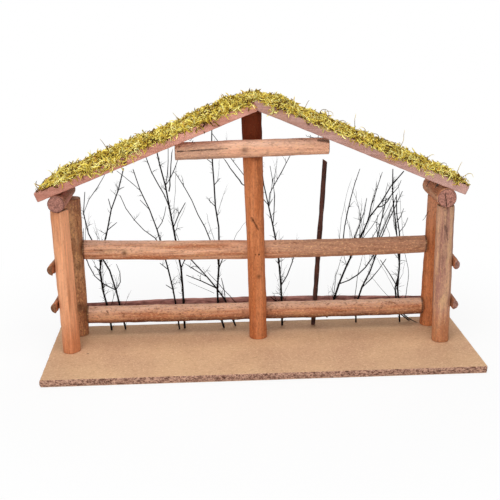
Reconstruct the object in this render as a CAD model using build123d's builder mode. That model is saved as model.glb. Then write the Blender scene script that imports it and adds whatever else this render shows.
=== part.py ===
from build123d import *
import os
from math import cos, pi, radians, sin, sqrt, tan

# A nativity stable of peeled logs on a thin board, with two mossy roof boards and a hedge of twigs behind.
# Millimetres. The origin is the centre of the base board's underside: +X right, +Y to the back, +Z up.
os.makedirs("parts", exist_ok=True)

# Base board
base_width = 500.0
base_depth = 164.0
base_thickness = 9.0
base_edge_break = 0.6

# Fits
joint_gap = 0.2
nail_gap = 0.05
cut_overrun = 30.0

# Posts: the insets are from the board's nearest end to the foot, the leans go from foot to top
front_post_diameter = 21.0
back_post_diameter = 22.0
centre_post_diameter = 21.0
front_row_setback = 82.0
row_spacing = 56.0
front_left_inset = 25.5
front_right_inset = 33.8
back_left_inset = 28.3
back_right_inset = 34.2
front_left_lean = -4.0
front_right_lean = -1.2
back_left_lean = -0.5
back_right_lean = 3.0
saddle_depth = 1.0

# Roof boards: the apex is where their undersides meet, above the top of the base board
apex_height = 281.0
ridge_offset = -3.0
left_pitch = 21.6
right_pitch = 22.8
left_eave_overhang = 21.6
right_eave_overhang = 23.1
roof_board_thickness = 11.0
roof_front_overhang = 12.0
roof_back_overhang = 18.0

# Eave logs: the offset is how far out each lies from its front post's top, the skew how far it turns in
left_eave_diameter = 19.8
right_eave_diameter = 22.8
left_eave_offset = 1.2
right_eave_offset = -2.0
left_eave_skew = 2.5
right_eave_skew = -1.5
eave_front_overhang = 13.0
eave_back_overhang = 11.0
bearing_flat_depth = 0.4

# Back rails, with heights above the base board
rail_diameter = 21.5
upper_rail_oval_share = 1.06
rail_forward_offset = 6.6
upper_rail_left_height = 109.9
upper_rail_right_height = 106.7
upper_rail_sag = 3.2
lower_rail_left_height = 27.0
lower_rail_right_height = 26.8
lower_rail_sag = 0.8

# Centre post: its foot, and how far its top stands to the left
centre_post_offset = -2.0
centre_post_lean = -6.5
centre_post_bow = 0.8

# Collar beam: how far its axis hangs under the apex at the centre post, and its reach each way
collar_diameter = 19.8
collar_drop = 44.6
collar_left_reach = 93.0
collar_right_reach = 81.5
collar_rise = 3.0

# Rear batten, a split branch, with heights above the base board
batten_width = 18.0
batten_thickness = 9.0
batten_left_height = 26.5
batten_right_height = 23.4
batten_arch = 4.2
batten_end_overhang = 8.0

# Side rails, split sticks, with heights above the base board
side_rail_width = 12.4
side_rail_thickness = 6.6
side_rail_front_overhang = 14.0
side_rail_back_overhang = 13.0
left_upper_side_height = 104.0
left_lower_side_height = 58.0
right_upper_side_height = 98.5
right_lower_side_height = 49.5

# Bark stick in the hedge
stick_diameter = 6.0
stick_height = 216.0
stick_lean = 12.8
stick_foot_share = 0.675
stick_cut_angle = 35.0

# Twigs of the hedge
twig_layer_spacing = 2.2
hedge_height_share = 1.03
hedge_end_share = 0.01
twig_foot_gap = 0.15
twig_sides = 6
twig_tip_share = 0.4
branch_girth_share = 0.62
thick_twig_diameter = 2.9
middle_twig_diameter = 2.5
thin_twig_diameter = 2.0

# Moss on the roof boards
moss_thickness = 7.5
moss_overhang = 2.5
moss_edge_share = 0.45

# Nails, pins and staples
nail_sides = 8
nail_shank = 1.8
nail_head = 4.0
nail_head_height = 0.8
nail_sink = 0.5
base_nail_length = 29.0
rail_nail_length = 42.0
eave_nail_length = 36.0
eave_nail_sink = 1.6
roof_nail_length = 24.0
roof_nail_spacing = 12.0
ridge_nail_offset = 5.0
batten_nail_length = 17.0
pin_shank = 1.2
pin_head = 2.6
pin_head_height = 0.6
pin_length = 14.0
staple_crown = 5.6
staple_wire = 1.1
staple_leg = 27.0
staple_sink = 0.9

# Flats that the drawknife leaves round a log and over the back of a split stick
log_sides = 24
split_sides = 10

# Girths of a natural log along its length, as shares of its diameter
stout_foot_girth_shares = (1.03, 0.985, 1.0)
slim_foot_girth_shares = (0.95, 1.0, 0.97)
even_girth_shares = (0.985, 1.0, 0.975)
tapered_girth_shares = (1.0, 1.01, 0.97)
centre_post_girth_shares = (1.0, 1.0, 1.0, 1.06, 1.1, 1.13)
upper_rail_girth_shares = (1.02, 1.03, 1.03, 1.0, 0.97, 0.955, 0.94)
lower_rail_girth_shares = (1.02, 0.99, 0.965, 0.98, 0.97, 0.97, 0.955)
batten_girth_shares = (0.98, 1.0, 1.0, 1.01, 0.99, 1.0, 0.97)

# Places that follow from the sizes above
base_top = base_thickness
front_row_y = front_row_setback - base_depth / 2
back_row_y = front_row_y + row_spacing
apex_z = base_top + apex_height
roof_front_y = front_row_y - roof_front_overhang
roof_back_y = back_row_y + roof_back_overhang
roof_depth = roof_back_y - roof_front_y
rail_y = back_row_y - rail_forward_offset
rail_radius = rail_diameter / 2
centre_post_radius = centre_post_diameter / 2
centre_post_y = rail_y - rail_radius - joint_gap - centre_post_radius
pitches = {"left": left_pitch, "right": right_pitch}
outward = {"left": -1, "right": 1}
eave_reaches = {
    "left": base_width / 2 - front_left_inset - front_left_lean + ridge_offset + left_eave_offset,
    "right": base_width / 2 - front_right_inset + front_right_lean - ridge_offset + right_eave_offset,
}
board_lengths = {
    "left": eave_reaches["left"] / cos(radians(left_pitch)) + left_eave_overhang,
    "right": eave_reaches["right"] / cos(radians(right_pitch)) + right_eave_overhang,
}
RIGHT = Vector(1, 0, 0)
BACK = Vector(0, 1, 0)
UP = Vector(0, 0, 1)


def export(piece, name):
    """Labels a finished piece and writes it under its own name."""
    piece.label = name
    export_step(piece, f"parts/{name}.step")


def along(start, end, share):
    """The point at a share of the way from start to end."""
    return start + (end - start) * share


def girth_at(girth_shares, station):
    """The girth at a share of a log's length, between the girths before and after it."""
    place = station * (len(girth_shares) - 1)
    before = min(int(place), len(girth_shares) - 2)
    return girth_shares[before] + (girth_shares[before + 1] - girth_shares[before]) * (place - before)


def round_log(start, end, bow, diameter, girth_shares, cut_normal, cross_direction, oval_share=1.0):
    """A peeled log: many-sided, as a drawknife leaves it, lofted along a bowed axis between flat ends."""
    turns = [2 * pi * corner / log_sides for corner in range(log_sides)]
    with BuildPart() as log:
        for count, girth in enumerate(girth_shares):
            station = count / (len(girth_shares) - 1)
            centre = along(start, end, station) + bow * (4 * station * (1 - station))
            with BuildSketch(Plane(origin=centre, x_dir=cross_direction, z_dir=cut_normal)):
                half_depth = diameter * girth / 2
                half_height = half_depth * oval_share
                Polygon(*[(half_depth * cos(turn), half_height * sin(turn)) for turn in turns], align=None)
        loft(ruled=True)
    return log.part


def split_stick(start, end, bow, width, thickness, girth_shares, cut_normal, flat_direction):
    """A split branch: a flat face through the axis and a rounded back of narrow flats."""
    with BuildPart() as stick:
        for count, girth in enumerate(girth_shares):
            station = count / (len(girth_shares) - 1)
            centre = along(start, end, station) + bow * (4 * station * (1 - station))
            half_width = width * girth / 2
            with BuildSketch(Plane(origin=centre, x_dir=flat_direction, z_dir=cut_normal)):
                with BuildLine():
                    crown = (0, thickness * girth)
                    back = ThreePointArc((-half_width, 0), crown, (half_width, 0), mode=Mode.PRIVATE)
                    Polyline(*[back @ (step / split_sides) for step in range(split_sides + 1)], close=True)
                make_face()
        loft(ruled=True)
    return stick.part


def nails(heads, length, shank, head, head_height):
    """Flat-headed nails: each plane lies on a head's outer face and points into the wood."""
    with BuildPart() as group:
        with BuildSketch(*heads):
            RegularPolygon(shank / 2, nail_sides)
        extrude(amount=length)
        with BuildSketch(*heads):
            RegularPolygon(head / 2, nail_sides)
        extrude(amount=head_height)
    return group.part


def nail_holes(heads, length, shank, head, head_height):
    """The holes that such nails leave, open to the outside."""
    with BuildPart() as group:
        with BuildSketch(*heads):
            RegularPolygon(shank / 2 + nail_gap, nail_sides)
        extrude(amount=length + nail_gap)
        with BuildSketch(*[plane.offset(-nail_sink - nail_head) for plane in heads]):
            RegularPolygon(head / 2 + nail_gap, nail_sides)
        extrude(amount=nail_sink + nail_head + head_height + nail_gap)
    return group.part


def staple_blank(centre_x, height, front, crown_back, leg_back, ease):
    """A U of wire lying level: its crown at the front, its legs running to the back, eased all round."""
    wire = staple_wire + 2 * ease
    outer = staple_crown + 2 * ease
    with BuildPart() as staple:
        with BuildSketch(Plane.XY.offset(height - wire / 2)):
            with Locations((centre_x, (front + leg_back) / 2)):
                Rectangle(outer, leg_back - front)
            with Locations((centre_x, (crown_back + leg_back) / 2)):
                Rectangle(outer - 2 * wire, leg_back - crown_back, mode=Mode.SUBTRACT)
        extrude(amount=wire)
    return staple.part


def roof_point(side, distance, lift):
    """A point of the front view: down the roof's underside from the apex, then lifted square off it."""
    pitch = radians(pitches[side])
    x = ridge_offset + outward[side] * (distance * cos(pitch) + lift * sin(pitch))
    return x, apex_z - distance * sin(pitch) + lift * cos(pitch)


def underside_height(side, x):
    """The height of a roof board's underside over a place across the stable."""
    return apex_z - abs(x - ridge_offset) * tan(radians(pitches[side]))


def under_roof_cut(y_front, y_back):
    """Everything above the two undersides, less the joint gap, as a cutter."""
    reach = sum(board_lengths.values())
    left_x, left_z = roof_point("left", reach, -joint_gap)
    right_x, right_z = roof_point("right", reach, -joint_gap)
    with BuildPart() as cutter:
        with BuildSketch(Plane.XZ.offset(-y_front)):
            with BuildLine():
                Polyline(
                    (left_x, left_z),
                    (ridge_offset, apex_z - joint_gap),
                    (right_x, right_z),
                    (right_x, apex_z + cut_overrun),
                    (left_x, apex_z + cut_overrun),
                    close=True,
                )
            make_face()
        extrude(amount=y_front - y_back)
    return cutter.part


# Eave logs: each lies against its board's underside on a narrow flat
eave_axes = {}
eave_radii = {"left": left_eave_diameter / 2, "right": right_eave_diameter / 2}
eave_skews = {"left": left_eave_skew, "right": right_eave_skew}
for side in ("left", "right"):
    front_x = ridge_offset + outward[side] * eave_reaches[side]
    back_x = front_x - outward[side] * eave_skews[side]
    hang = (eave_radii[side] - bearing_flat_depth + joint_gap) / cos(radians(pitches[side]))
    eave_axes[side] = (
        Vector(front_x, front_row_y - eave_front_overhang, underside_height(side, front_x) - hang),
        Vector(back_x, back_row_y + eave_back_overhang, underside_height(side, back_x) - hang),
    )


def eave_centre(side, y):
    """The eave log's axis over a row of posts."""
    start, end = eave_axes[side]
    return along(start, end, (y - start.Y) / (end.Y - start.Y))


# Corner posts: the foot, the top under the eave log, the diameter and the girths of each
post_girths = {
    ("front", "left"): even_girth_shares,
    ("front", "right"): slim_foot_girth_shares,
    ("back", "left"): stout_foot_girth_shares,
    ("back", "right"): even_girth_shares,
}
corner_posts = {}
for side, row, inset, lean, row_y, diameter in (
    ("left", "front", front_left_inset, front_left_lean, front_row_y, front_post_diameter),
    ("right", "front", front_right_inset, front_right_lean, front_row_y, front_post_diameter),
    ("left", "back", back_left_inset, back_left_lean, back_row_y, back_post_diameter),
    ("right", "back", back_right_inset, back_right_lean, back_row_y, back_post_diameter),
):
    foot = Vector(outward[side] * (base_width / 2 - inset), row_y, base_top)
    top_z = eave_centre(side, row_y).Z - eave_radii[side] + saddle_depth
    corner_posts[row, side] = (foot, Vector(foot.X + lean, row_y, top_z), diameter)


def post_centre(row, side, z):
    """The axis of a corner post at a height."""
    foot, top, _ = corner_posts[row, side]
    return along(foot, top, (z - foot.Z) / (top.Z - foot.Z))


def post_radius(row, side, z):
    """The radius of a corner post at a height."""
    foot, top, diameter = corner_posts[row, side]
    return diameter * girth_at(post_girths[row, side], (z - foot.Z) / (top.Z - foot.Z)) / 2


# The hedge fills the room between the rails' backs and the rear batten
batten_heights = {"left": batten_left_height, "right": batten_right_height}
batten_front_y = back_row_y + joint_gap + max(
    post_radius("back", side, base_top + height) for side, height in batten_heights.items()
)
hedge_y = (rail_y + rail_radius + batten_front_y) / 2


# Back rails: cut square where they meet the inner sides of the back posts
rail_axes = {}
for name, left_height, right_height in (
    ("upper", upper_rail_left_height, upper_rail_right_height),
    ("lower", lower_rail_left_height, lower_rail_right_height),
):
    ends = []
    for side, height in (("left", left_height), ("right", right_height)):
        z = base_top + height
        post_edge = post_centre("back", side, z).X - outward[side] * post_radius("back", side, z)
        lean_room = abs(post_centre("back", side, z + rail_radius).X - post_centre("back", side, z).X)
        ends.append(Vector(post_edge - outward[side] * (joint_gap + lean_room), rail_y, z))
    rail_axes[name] = ends
rail_bows = {"upper": UP * -upper_rail_sag, "lower": UP * -lower_rail_sag}


def rail_height(name, x):
    """The height of a rail's axis at a place across the stable."""
    start, end = rail_axes[name]
    share = (x - start.X) / (end.X - start.X)
    return along(start, end, share).Z + rail_bows[name].Z * 4 * share * (1 - share)


# Centre post: upright through the rails' front, cut to the roof at its top
centre_foot = Vector(centre_post_offset, centre_post_y, base_top)
centre_top = Vector(centre_post_offset + centre_post_lean, centre_post_y, apex_z)


def centre_post_x(z):
    """The centre post's axis at a height."""
    share = (z - centre_foot.Z) / (centre_top.Z - centre_foot.Z)
    return along(centre_foot, centre_top, share).X + centre_post_bow * 4 * share * (1 - share)


def centre_post_front(z):
    """The front of the centre post at a height."""
    share = (z - centre_foot.Z) / (centre_top.Z - centre_foot.Z)
    return centre_post_y - centre_post_radius * girth_at(centre_post_girth_shares, share)


# Collar beam: it lies against the front of the centre post, which is stouter there
collar_height = apex_z - collar_drop
collar_touch_y = centre_post_front(collar_height + collar_diameter / 2)
collar_y = collar_touch_y - joint_gap - collar_diameter / 2
collar_start = Vector(ridge_offset - collar_left_reach, collar_y, collar_height - collar_rise / 2)
collar_end = Vector(ridge_offset + collar_right_reach, collar_y, collar_height + collar_rise / 2)

# Where every fastener's head lies
floor_feet = [post[0] for post in corner_posts.values()] + [centre_foot]
base_nail_heads = [Plane(origin=(foot.X, foot.Y, nail_sink), z_dir=UP) for foot in floor_feet]

eave_nail_heads = []
for side in ("left", "right"):
    for row_y in (front_row_y, back_row_y):
        over_post = eave_centre(side, row_y)
        head_centre = over_post + UP * (eave_radii[side] - eave_nail_sink)
        eave_nail_heads.append(Plane(origin=head_centre, x_dir=RIGHT, z_dir=-UP))

rail_nail_y = (rail_y + back_row_y) / 2
rail_nail_heads = []
for ends in rail_axes.values():
    for side, rail_end in zip(("left", "right"), ends):
        radius = post_radius("back", side, rail_end.Z)
        surface = sqrt(radius**2 - (back_row_y - rail_nail_y) ** 2)
        head_x = post_centre("back", side, rail_end.Z).X + outward[side] * (surface - nail_sink)
        inwards = RIGHT * -outward[side]
        rail_nail_heads.append(Plane(origin=(head_x, rail_nail_y, rail_end.Z), x_dir=BACK, z_dir=inwards))

roof_nail_heads = []
for side in ("left", "right"):
    pitch = radians(pitches[side])
    into_wood = Vector(-outward[side] * sin(pitch), 0, -cos(pitch))
    over_eave = eave_reaches[side] / cos(pitch) - eave_radii[side] * tan(pitch)
    ridge_nail_y = centre_post_y + outward[side] * ridge_nail_offset
    for distance, y in (
        (over_eave, front_row_y + roof_nail_spacing),
        (over_eave, back_row_y - roof_nail_spacing),
        (ridge_nail_offset, ridge_nail_y),
    ):
        x, z = roof_point(side, distance, roof_board_thickness - nail_sink)
        roof_nail_heads.append(Plane(origin=(x, y, z), x_dir=BACK, z_dir=into_wood))

batten_axis = [
    Vector(
        corner_posts["back", side][0].X + outward[side] * batten_end_overhang,
        batten_front_y,
        base_top + height,
    )
    for side, height in batten_heights.items()
]
batten_bow = UP * batten_arch
batten_nail_heads = []
for side in ("left", "right"):
    nail_x = corner_posts["back", side][0].X
    share = (nail_x - batten_axis[0].X) / (batten_axis[1].X - batten_axis[0].X)
    nail_z = along(*batten_axis, share).Z + batten_arch * 4 * share * (1 - share)
    nail_y = batten_front_y + batten_thickness - nail_sink - nail_head_height
    batten_nail_heads.append(Plane(origin=(nail_x, nail_y, nail_z), x_dir=RIGHT, z_dir=-BACK))

# Side rails lie flat on the outer sides of a front and a back post
side_rails = {}
pin_heads = []
for side, level, height in (
    ("left", "upper", left_upper_side_height),
    ("left", "lower", left_lower_side_height),
    ("right", "upper", right_upper_side_height),
    ("right", "lower", right_lower_side_height),
):
    z = base_top + height
    touch = {}
    for row in ("front", "back"):
        slack = joint_gap + abs(corner_posts[row, side][1].X - corner_posts[row, side][0].X) * (
            side_rail_width / (2 * apex_height)
        )
        outer_x = post_centre(row, side, z).X + outward[side] * (post_radius(row, side, z) + slack)
        touch[row] = Vector(outer_x, post_centre(row, side, z).Y, z)
    run = (touch["back"] - touch["front"]).normalized()
    start = touch["front"] - run * side_rail_front_overhang
    end = touch["back"] + run * side_rail_back_overhang
    side_rails[f"side_rail_{side}_{level}"] = (start, end, run, UP * outward[side])
    outer_normal = (run.cross(UP) * outward[side]).normalized()
    for place in touch.values():
        head_centre = place + outer_normal * (side_rail_thickness - nail_sink)
        pin_heads.append(Plane(origin=head_centre, x_dir=UP, z_dir=-outer_normal))

# Staples: two through the centre post into the rails, one through the collar beam into the centre post
staple_places = []
for name in rail_axes:
    crossing_z = rail_height(name, centre_post_offset)
    staple_places.append((centre_post_x(crossing_z), centre_post_front(crossing_z), crossing_z))
staple_places.append((centre_post_x(collar_height), collar_y - collar_diameter / 2, collar_height))

base_nail_holes = nail_holes(base_nail_heads, base_nail_length, nail_shank, nail_head, nail_head_height)
eave_nail_holes = nail_holes(eave_nail_heads, eave_nail_length, nail_shank, nail_head, nail_head_height)
rail_nail_holes = nail_holes(rail_nail_heads, rail_nail_length, nail_shank, nail_head, nail_head_height)
roof_nail_holes = nail_holes(roof_nail_heads, roof_nail_length, nail_shank, nail_head, nail_head_height)
batten_nail_holes = nail_holes(
    batten_nail_heads, batten_nail_length, nail_shank, nail_head, nail_head_height
)
pin_holes = nail_holes(pin_heads, pin_length, pin_shank, pin_head, pin_head_height)
staple_slots = [
    staple_blank(
        x,
        height,
        front - staple_wire,
        front + staple_sink + staple_wire + nail_gap,
        front + staple_sink + staple_leg + nail_gap,
        nail_gap,
    )
    for x, front, height in staple_places
]
roof_cut = under_roof_cut(roof_front_y - cut_overrun, roof_back_y + cut_overrun)

# Base board: a thin board with its top edges broken
with BuildPart() as base_board:
    with BuildSketch():
        Rectangle(base_width, base_depth)
    extrude(amount=base_thickness)
    chamfer(base_board.faces().sort_by(Axis.Z)[-1].edges(), base_edge_break)
    add(base_nail_holes, mode=Mode.SUBTRACT)
export(base_board.part, "base_board")

# Corner posts: a shallow saddle at the top takes the eave log
for (row, side), (foot, top, diameter) in corner_posts.items():
    post_log = round_log(foot, top, Vector(), diameter, post_girths[row, side], UP, RIGHT)
    eave_start, eave_end = eave_axes[side]
    with BuildPart() as corner_post:
        add(post_log)
        with BuildSketch(Plane(origin=eave_start, x_dir=RIGHT, z_dir=eave_end - eave_start)):
            Circle(eave_radii[side] + joint_gap)
        extrude(amount=(eave_end - eave_start).length, mode=Mode.SUBTRACT)
        add([base_nail_holes, eave_nail_holes, pin_holes], mode=Mode.SUBTRACT)
        if row == "back":
            add([rail_nail_holes, batten_nail_holes], mode=Mode.SUBTRACT)
    export(corner_post.part, f"post_{row}_{side}")

# Centre post: its top is cut to a ridge that fits up under both boards
centre_log = round_log(
    centre_foot,
    centre_top,
    RIGHT * centre_post_bow,
    centre_post_diameter,
    centre_post_girth_shares,
    UP,
    RIGHT,
)
with BuildPart() as centre_post:
    add(centre_log)
    add(roof_cut, mode=Mode.SUBTRACT)
    add([base_nail_holes, roof_nail_holes, *staple_slots], mode=Mode.SUBTRACT)
export(centre_post.part, "centre_post")

# Eave logs: pared flat under the boards
for side in ("left", "right"):
    start, end = eave_axes[side]
    eave_round = round_log(start, end, Vector(), 2 * eave_radii[side], even_girth_shares, BACK, RIGHT)
    with BuildPart() as eave_log:
        add(eave_round)
        add(roof_cut, mode=Mode.SUBTRACT)
        add([eave_nail_holes, roof_nail_holes], mode=Mode.SUBTRACT)
    export(eave_log.part, f"eave_log_{side}")

# Left roof board: cut square at the ridge
with BuildPart() as roof_board_left:
    with BuildSketch(Plane.XZ.offset(-roof_front_y)):
        with BuildLine():
            Polyline(
                roof_point("left", joint_gap, 0),
                roof_point("left", joint_gap, roof_board_thickness),
                roof_point("left", board_lengths["left"], roof_board_thickness),
                roof_point("left", board_lengths["left"], 0),
                close=True,
            )
        make_face()
    extrude(amount=-roof_depth)
    add(roof_nail_holes, mode=Mode.SUBTRACT)
export(roof_board_left.part, "roof_board_left")

# Right roof board: bevelled to lie on the square end of the left one, and trimmed level with its top
both_pitches = radians(left_pitch + right_pitch)
with BuildPart() as roof_board_right:
    with BuildSketch(Plane.XZ.offset(-roof_front_y)):
        with BuildLine():
            Polyline(
                roof_point("right", 0, 0),
                roof_point(
                    "right",
                    -roof_board_thickness * sin(both_pitches),
                    roof_board_thickness * cos(both_pitches),
                ),
                roof_point("right", -roof_board_thickness * tan(both_pitches / 2), roof_board_thickness),
                roof_point("right", board_lengths["right"], roof_board_thickness),
                roof_point("right", board_lengths["right"], 0),
                close=True,
            )
        make_face()
    extrude(amount=-roof_depth)
    add(roof_nail_holes, mode=Mode.SUBTRACT)
export(roof_board_right.part, "roof_board_right")

# Collar beam: its upper corners are bevelled to the roof
collar_log = round_log(
    collar_start,
    collar_end,
    Vector(),
    collar_diameter,
    tapered_girth_shares,
    RIGHT,
    BACK,
)
with BuildPart() as collar_beam:
    add(collar_log)
    add(roof_cut, mode=Mode.SUBTRACT)
    add(staple_slots, mode=Mode.SUBTRACT)
export(collar_beam.part, "collar_beam")

# Back rails: the upper one is a little taller than deep
rail_shapes = {
    "upper": (upper_rail_girth_shares, upper_rail_oval_share),
    "lower": (lower_rail_girth_shares, 1.0),
}
for name, (start, end) in rail_axes.items():
    girth_shares, oval_share = rail_shapes[name]
    rail_log = round_log(
        start, end, rail_bows[name], rail_diameter, girth_shares, RIGHT, BACK, oval_share
    )
    with BuildPart() as rail:
        add(rail_log)
        add([rail_nail_holes, *staple_slots], mode=Mode.SUBTRACT)
    export(rail.part, f"{name}_rail")

# Rear batten: its flat side faces the twigs
batten_blank = split_stick(
    *batten_axis, batten_bow, batten_width, batten_thickness, batten_girth_shares, RIGHT, -UP
)
with BuildPart() as rear_batten:
    add(batten_blank)
    add(batten_nail_holes, mode=Mode.SUBTRACT)
export(rear_batten.part, "rear_batten")

# Side rails
for name, (start, end, run, flat_direction) in side_rails.items():
    side_blank = split_stick(
        start,
        end,
        Vector(),
        side_rail_width,
        side_rail_thickness,
        even_girth_shares,
        run,
        flat_direction,
    )
    with BuildPart() as side_rail:
        add(side_blank)
        add(pin_holes, mode=Mode.SUBTRACT)
    export(side_rail.part, name)

# Bark stick: leans in the hedge behind the rails, with a slanting cut at its top
hedge_left_x = corner_posts["back", "left"][0].X + post_radius("back", "left", base_top)
hedge_right_x = corner_posts["back", "right"][0].X - post_radius("back", "right", base_top)
hedge_span = hedge_right_x - hedge_left_x
stick_foot = Vector(
    hedge_left_x + hedge_span * stick_foot_share,
    rail_y + rail_radius + joint_gap + stick_diameter / 2,
    base_top + twig_foot_gap,
)
stick_top = stick_foot + Vector(stick_lean, 0, stick_height)
stick_log = round_log(
    stick_foot, stick_top, Vector(), stick_diameter, slim_foot_girth_shares, UP, RIGHT
)
with BuildPart() as bark_stick:
    add(stick_log)
    split(
        bisect_by=Plane(origin=stick_top - UP * stick_diameter, x_dir=BACK, z_dir=UP).rotated(
            (0, stick_cut_angle, 0)
        ),
        keep=Keep.BOTTOM,
    )
export(bark_stick.part, "bark_stick")

# Twigs. Each row: the foot across the hedge, the foot's height, the layer from front to back, the girth,
# then the stem: the internode's length and the heading of each internode, in degrees right of upright.
# Its branches follow: the node that each leaves, and an internode and headings of its own.
twig_places_shares = (
    (
        (0.056, 0.0, 0, middle_twig_diameter, 0.091, (-6, -12, -5, 10, 16, 13, 22, 16)),
        (5, 0.052, (52,)),
        (6, 0.046, (-12,)),
        (7, 0.026, (68,)),
        (3, 0.03, (-48,)),
    ),
    (
        (0.098, 0.0, 1, thin_twig_diameter, 0.091, (-10, -11, -14, -27, -25, -10, 7)),
        (6, 0.064, (24, 37, 32, 29)),
        (2, 0.0545, (-61, -45, -25, -14, -2, 3)),
        (2, 0.041, (30, 1, -19)),
    ),
    (
        (0.264, 0.0, -1, thin_twig_diameter, 0.091, (-6, -8, -11, -13, -13, -18, -23, -16)),
        (7, 0.041, (-47, -48, -49)),
        (5, 0.036, (36, 20, 12)),
        (6, 0.055, (-42,)),
        (4, 0.059, (-30, -52, -40, -33, -21)),
        (3, 0.045, (-50,)),
        (2, 0.036, (-55,)),
    ),
    (
        (0.28, 0.0, 0, thick_twig_diameter, 0.091, (-1, -1, -3, -9, -8, -9, -8, -13, -10)),
        (7, 0.05, (12, 5, 2, 2)),
        (7, 0.041, (34, 26, 21)),
        (6, 0.0545, (-20, -28, -26, -18, -15)),
        (5, 0.059, (24, 30)),
        (3, 0.036, (25, 8)),
    ),
    (
        (0.437, 0.0, 1, thin_twig_diameter, 0.064, (-20, -19, -34, -37, -40, -40, -40)),
        (4, 0.059, (-57, -55)),
        (2, 0.05, (-5, -12)),
    ),
    (
        (0.401, 0.0, -1, middle_twig_diameter, 0.091, (-15, -1, 5, 2, 0, -8, -2, -3, -1, 2)),
        (3, 0.064, (-5, -25, -20, -27, -21, -27, -30)),
        (2, 0.073, (-62, -66)),
        (3, 0.052, (22,)),
        (6, 0.036, (-45,)),
        (7, 0.036, (42,)),
        (8, 0.036, (-50,)),
    ),
    (
        (0.582, 0.0, 0, middle_twig_diameter, 0.091, (-1, -2, -5, -6, -11, -12, -12, -7)),
        (6, 0.064, (-40, -37, -37, -36, -36, -36)),
        (6, 0.05, (8, 28, 30, 27, 28)),
        (5, 0.064, (5, 2, -7, -10)),
        (2, 0.0545, (30, 20, 16)),
        (1, 0.064, (-50,)),
    ),
    (
        (0.72, 0.032, -1, middle_twig_diameter, 0.08, (21, 17, 21, 24, 25, 22, 37, 30, 40)),
        (2, 0.0455, (70, 58, 45, 33, 25, 22, 21, 21, 25, 22, 24)),
        (7, 0.032, (64, 41, 40, 21)),
        (6, 0.05, (7, 17, 16, 17)),
        (4, 0.064, (-48, 5, 10, 12, 14, 18)),
        (4, 0.059, (2, 20, 18, 9)),
    ),
    (
        (0.814, 0.0, 1, thin_twig_diameter, 0.082, (-1, 17, 25, 18, 2, 12, 10)),
        (2, 0.0545, (46, 38, 33)),
        (5, 0.045, (-8, 4)),
    ),
    (
        (0.951, 0.0, 0, thin_twig_diameter, 0.082, (-4, -7, 4, 0, -4, -10, -3)),
        (2, 0.073, (-31, -34)),
        (5, 0.036, (38, 20)),
    ),
    (
        (0.982, 0.0, 1, thin_twig_diameter, 0.059, (-51, -14, -7, 13, 2, -11, -4, -7, -9, -7, -3, -1)),
        (6, 0.036, (-40, -25)),
        (8, 0.036, (35, 18)),
    ),
)
hedge_height = apex_height * hedge_height_share
hedge_end = hedge_span * hedge_end_share


def shoot_nodes(start, internode_share, headings):
    """The nodes of a shoot, one internode after the other, in the plane of its layer."""
    nodes = [start]
    for heading in headings:
        step = Vector(sin(radians(heading)), 0, cos(radians(heading)))
        nodes.append(nodes[-1] + step * (internode_share * hedge_height))
    return nodes


def shoot(nodes, thickness):
    """A shoot that tapers from node to node to its tip."""
    with BuildPart() as wood:
        for count, node in enumerate(nodes):
            girth = thickness * (1 - (1 - twig_tip_share) * count / (len(nodes) - 1))
            with BuildSketch(Plane(origin=node, x_dir=BACK, z_dir=nodes[-1] - nodes[0])):
                RegularPolygon(girth / 2, twig_sides)
        loft(ruled=True)
    return wood.part


for number, (stem_row, *branch_rows) in enumerate(twig_places_shares, start=1):
    foot_share, lift_share, layer, thickness, internode_share, headings = stem_row
    twig_foot = Vector(
        hedge_left_x + hedge_end + (hedge_span - 2 * hedge_end) * foot_share,
        hedge_y + twig_layer_spacing * layer,
        base_top + twig_foot_gap + thickness / 2 * abs(sin(radians(max(headings, key=abs))))
        + hedge_height * lift_share,
    )
    stem_nodes = shoot_nodes(twig_foot, internode_share, headings)
    shoots = [shoot(stem_nodes, thickness)]
    for node, branch_share, branch_headings in branch_rows:
        stem_girth = thickness * (1 - (1 - twig_tip_share) * node / (len(stem_nodes) - 1))
        branch_nodes = shoot_nodes(stem_nodes[node], branch_share, branch_headings)
        shoots.append(shoot(branch_nodes, stem_girth * branch_girth_share))
    with BuildPart() as hedge_twig:
        add(shoots)
        add(roof_cut, mode=Mode.SUBTRACT)
    export(hedge_twig.part, f"hedge_twig_{number}")

# Moss: an uneven mat on each board, low at its edges, from the ridge to past the eave
moss_place_shares = (0.0, 0.1, 0.26, 0.42, 0.6, 0.78, 0.93, 1.0)
moss_height_shares = {
    "left": (0.4, 0.8, 0.95, 0.84, 1.0, 0.86, 0.96, 0.55),
    "right": (0.4, 0.85, 1.0, 0.88, 0.98, 0.8, 0.9, 0.5),
}
moss_spread_shares = {
    "left": (0.2, 0.8, 0.5, 1.0, 0.6, 0.9, 0.7, 0.3),
    "right": (0.3, 0.7, 1.0, 0.6, 0.9, 0.5, 0.8, 0.2),
}
for side in ("left", "right"):
    pitch = radians(pitches[side])
    down_slope = Vector(outward[side] * cos(pitch), 0, -sin(pitch))
    moss_start = joint_gap - roof_board_thickness * tan(both_pitches / 2)
    moss_length = board_lengths[side] + moss_overhang - moss_start
    with BuildPart() as moss:
        for place, height, spread in zip(
            moss_place_shares, moss_height_shares[side], moss_spread_shares[side]
        ):
            x, z = roof_point(side, moss_start + moss_length * place, roof_board_thickness)
            half_depth = roof_depth / 2 + moss_overhang * spread
            crown = moss_thickness * height
            edge = crown * moss_edge_share
            middle = Vector(x, (roof_front_y + roof_back_y) / 2, z)
            with BuildSketch(Plane(origin=middle, x_dir=BACK * outward[side], z_dir=down_slope)):
                with BuildLine():
                    Line((-half_depth, 0), (half_depth, 0))
                    Line((half_depth, 0), (half_depth, edge))
                    top = ThreePointArc((half_depth, edge), (0, crown), (-half_depth, edge))
                    Line(top @ 1, (-half_depth, 0))
                make_face()
        loft(ruled=True)
    export(moss.part, f"moss_{side}")

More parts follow.
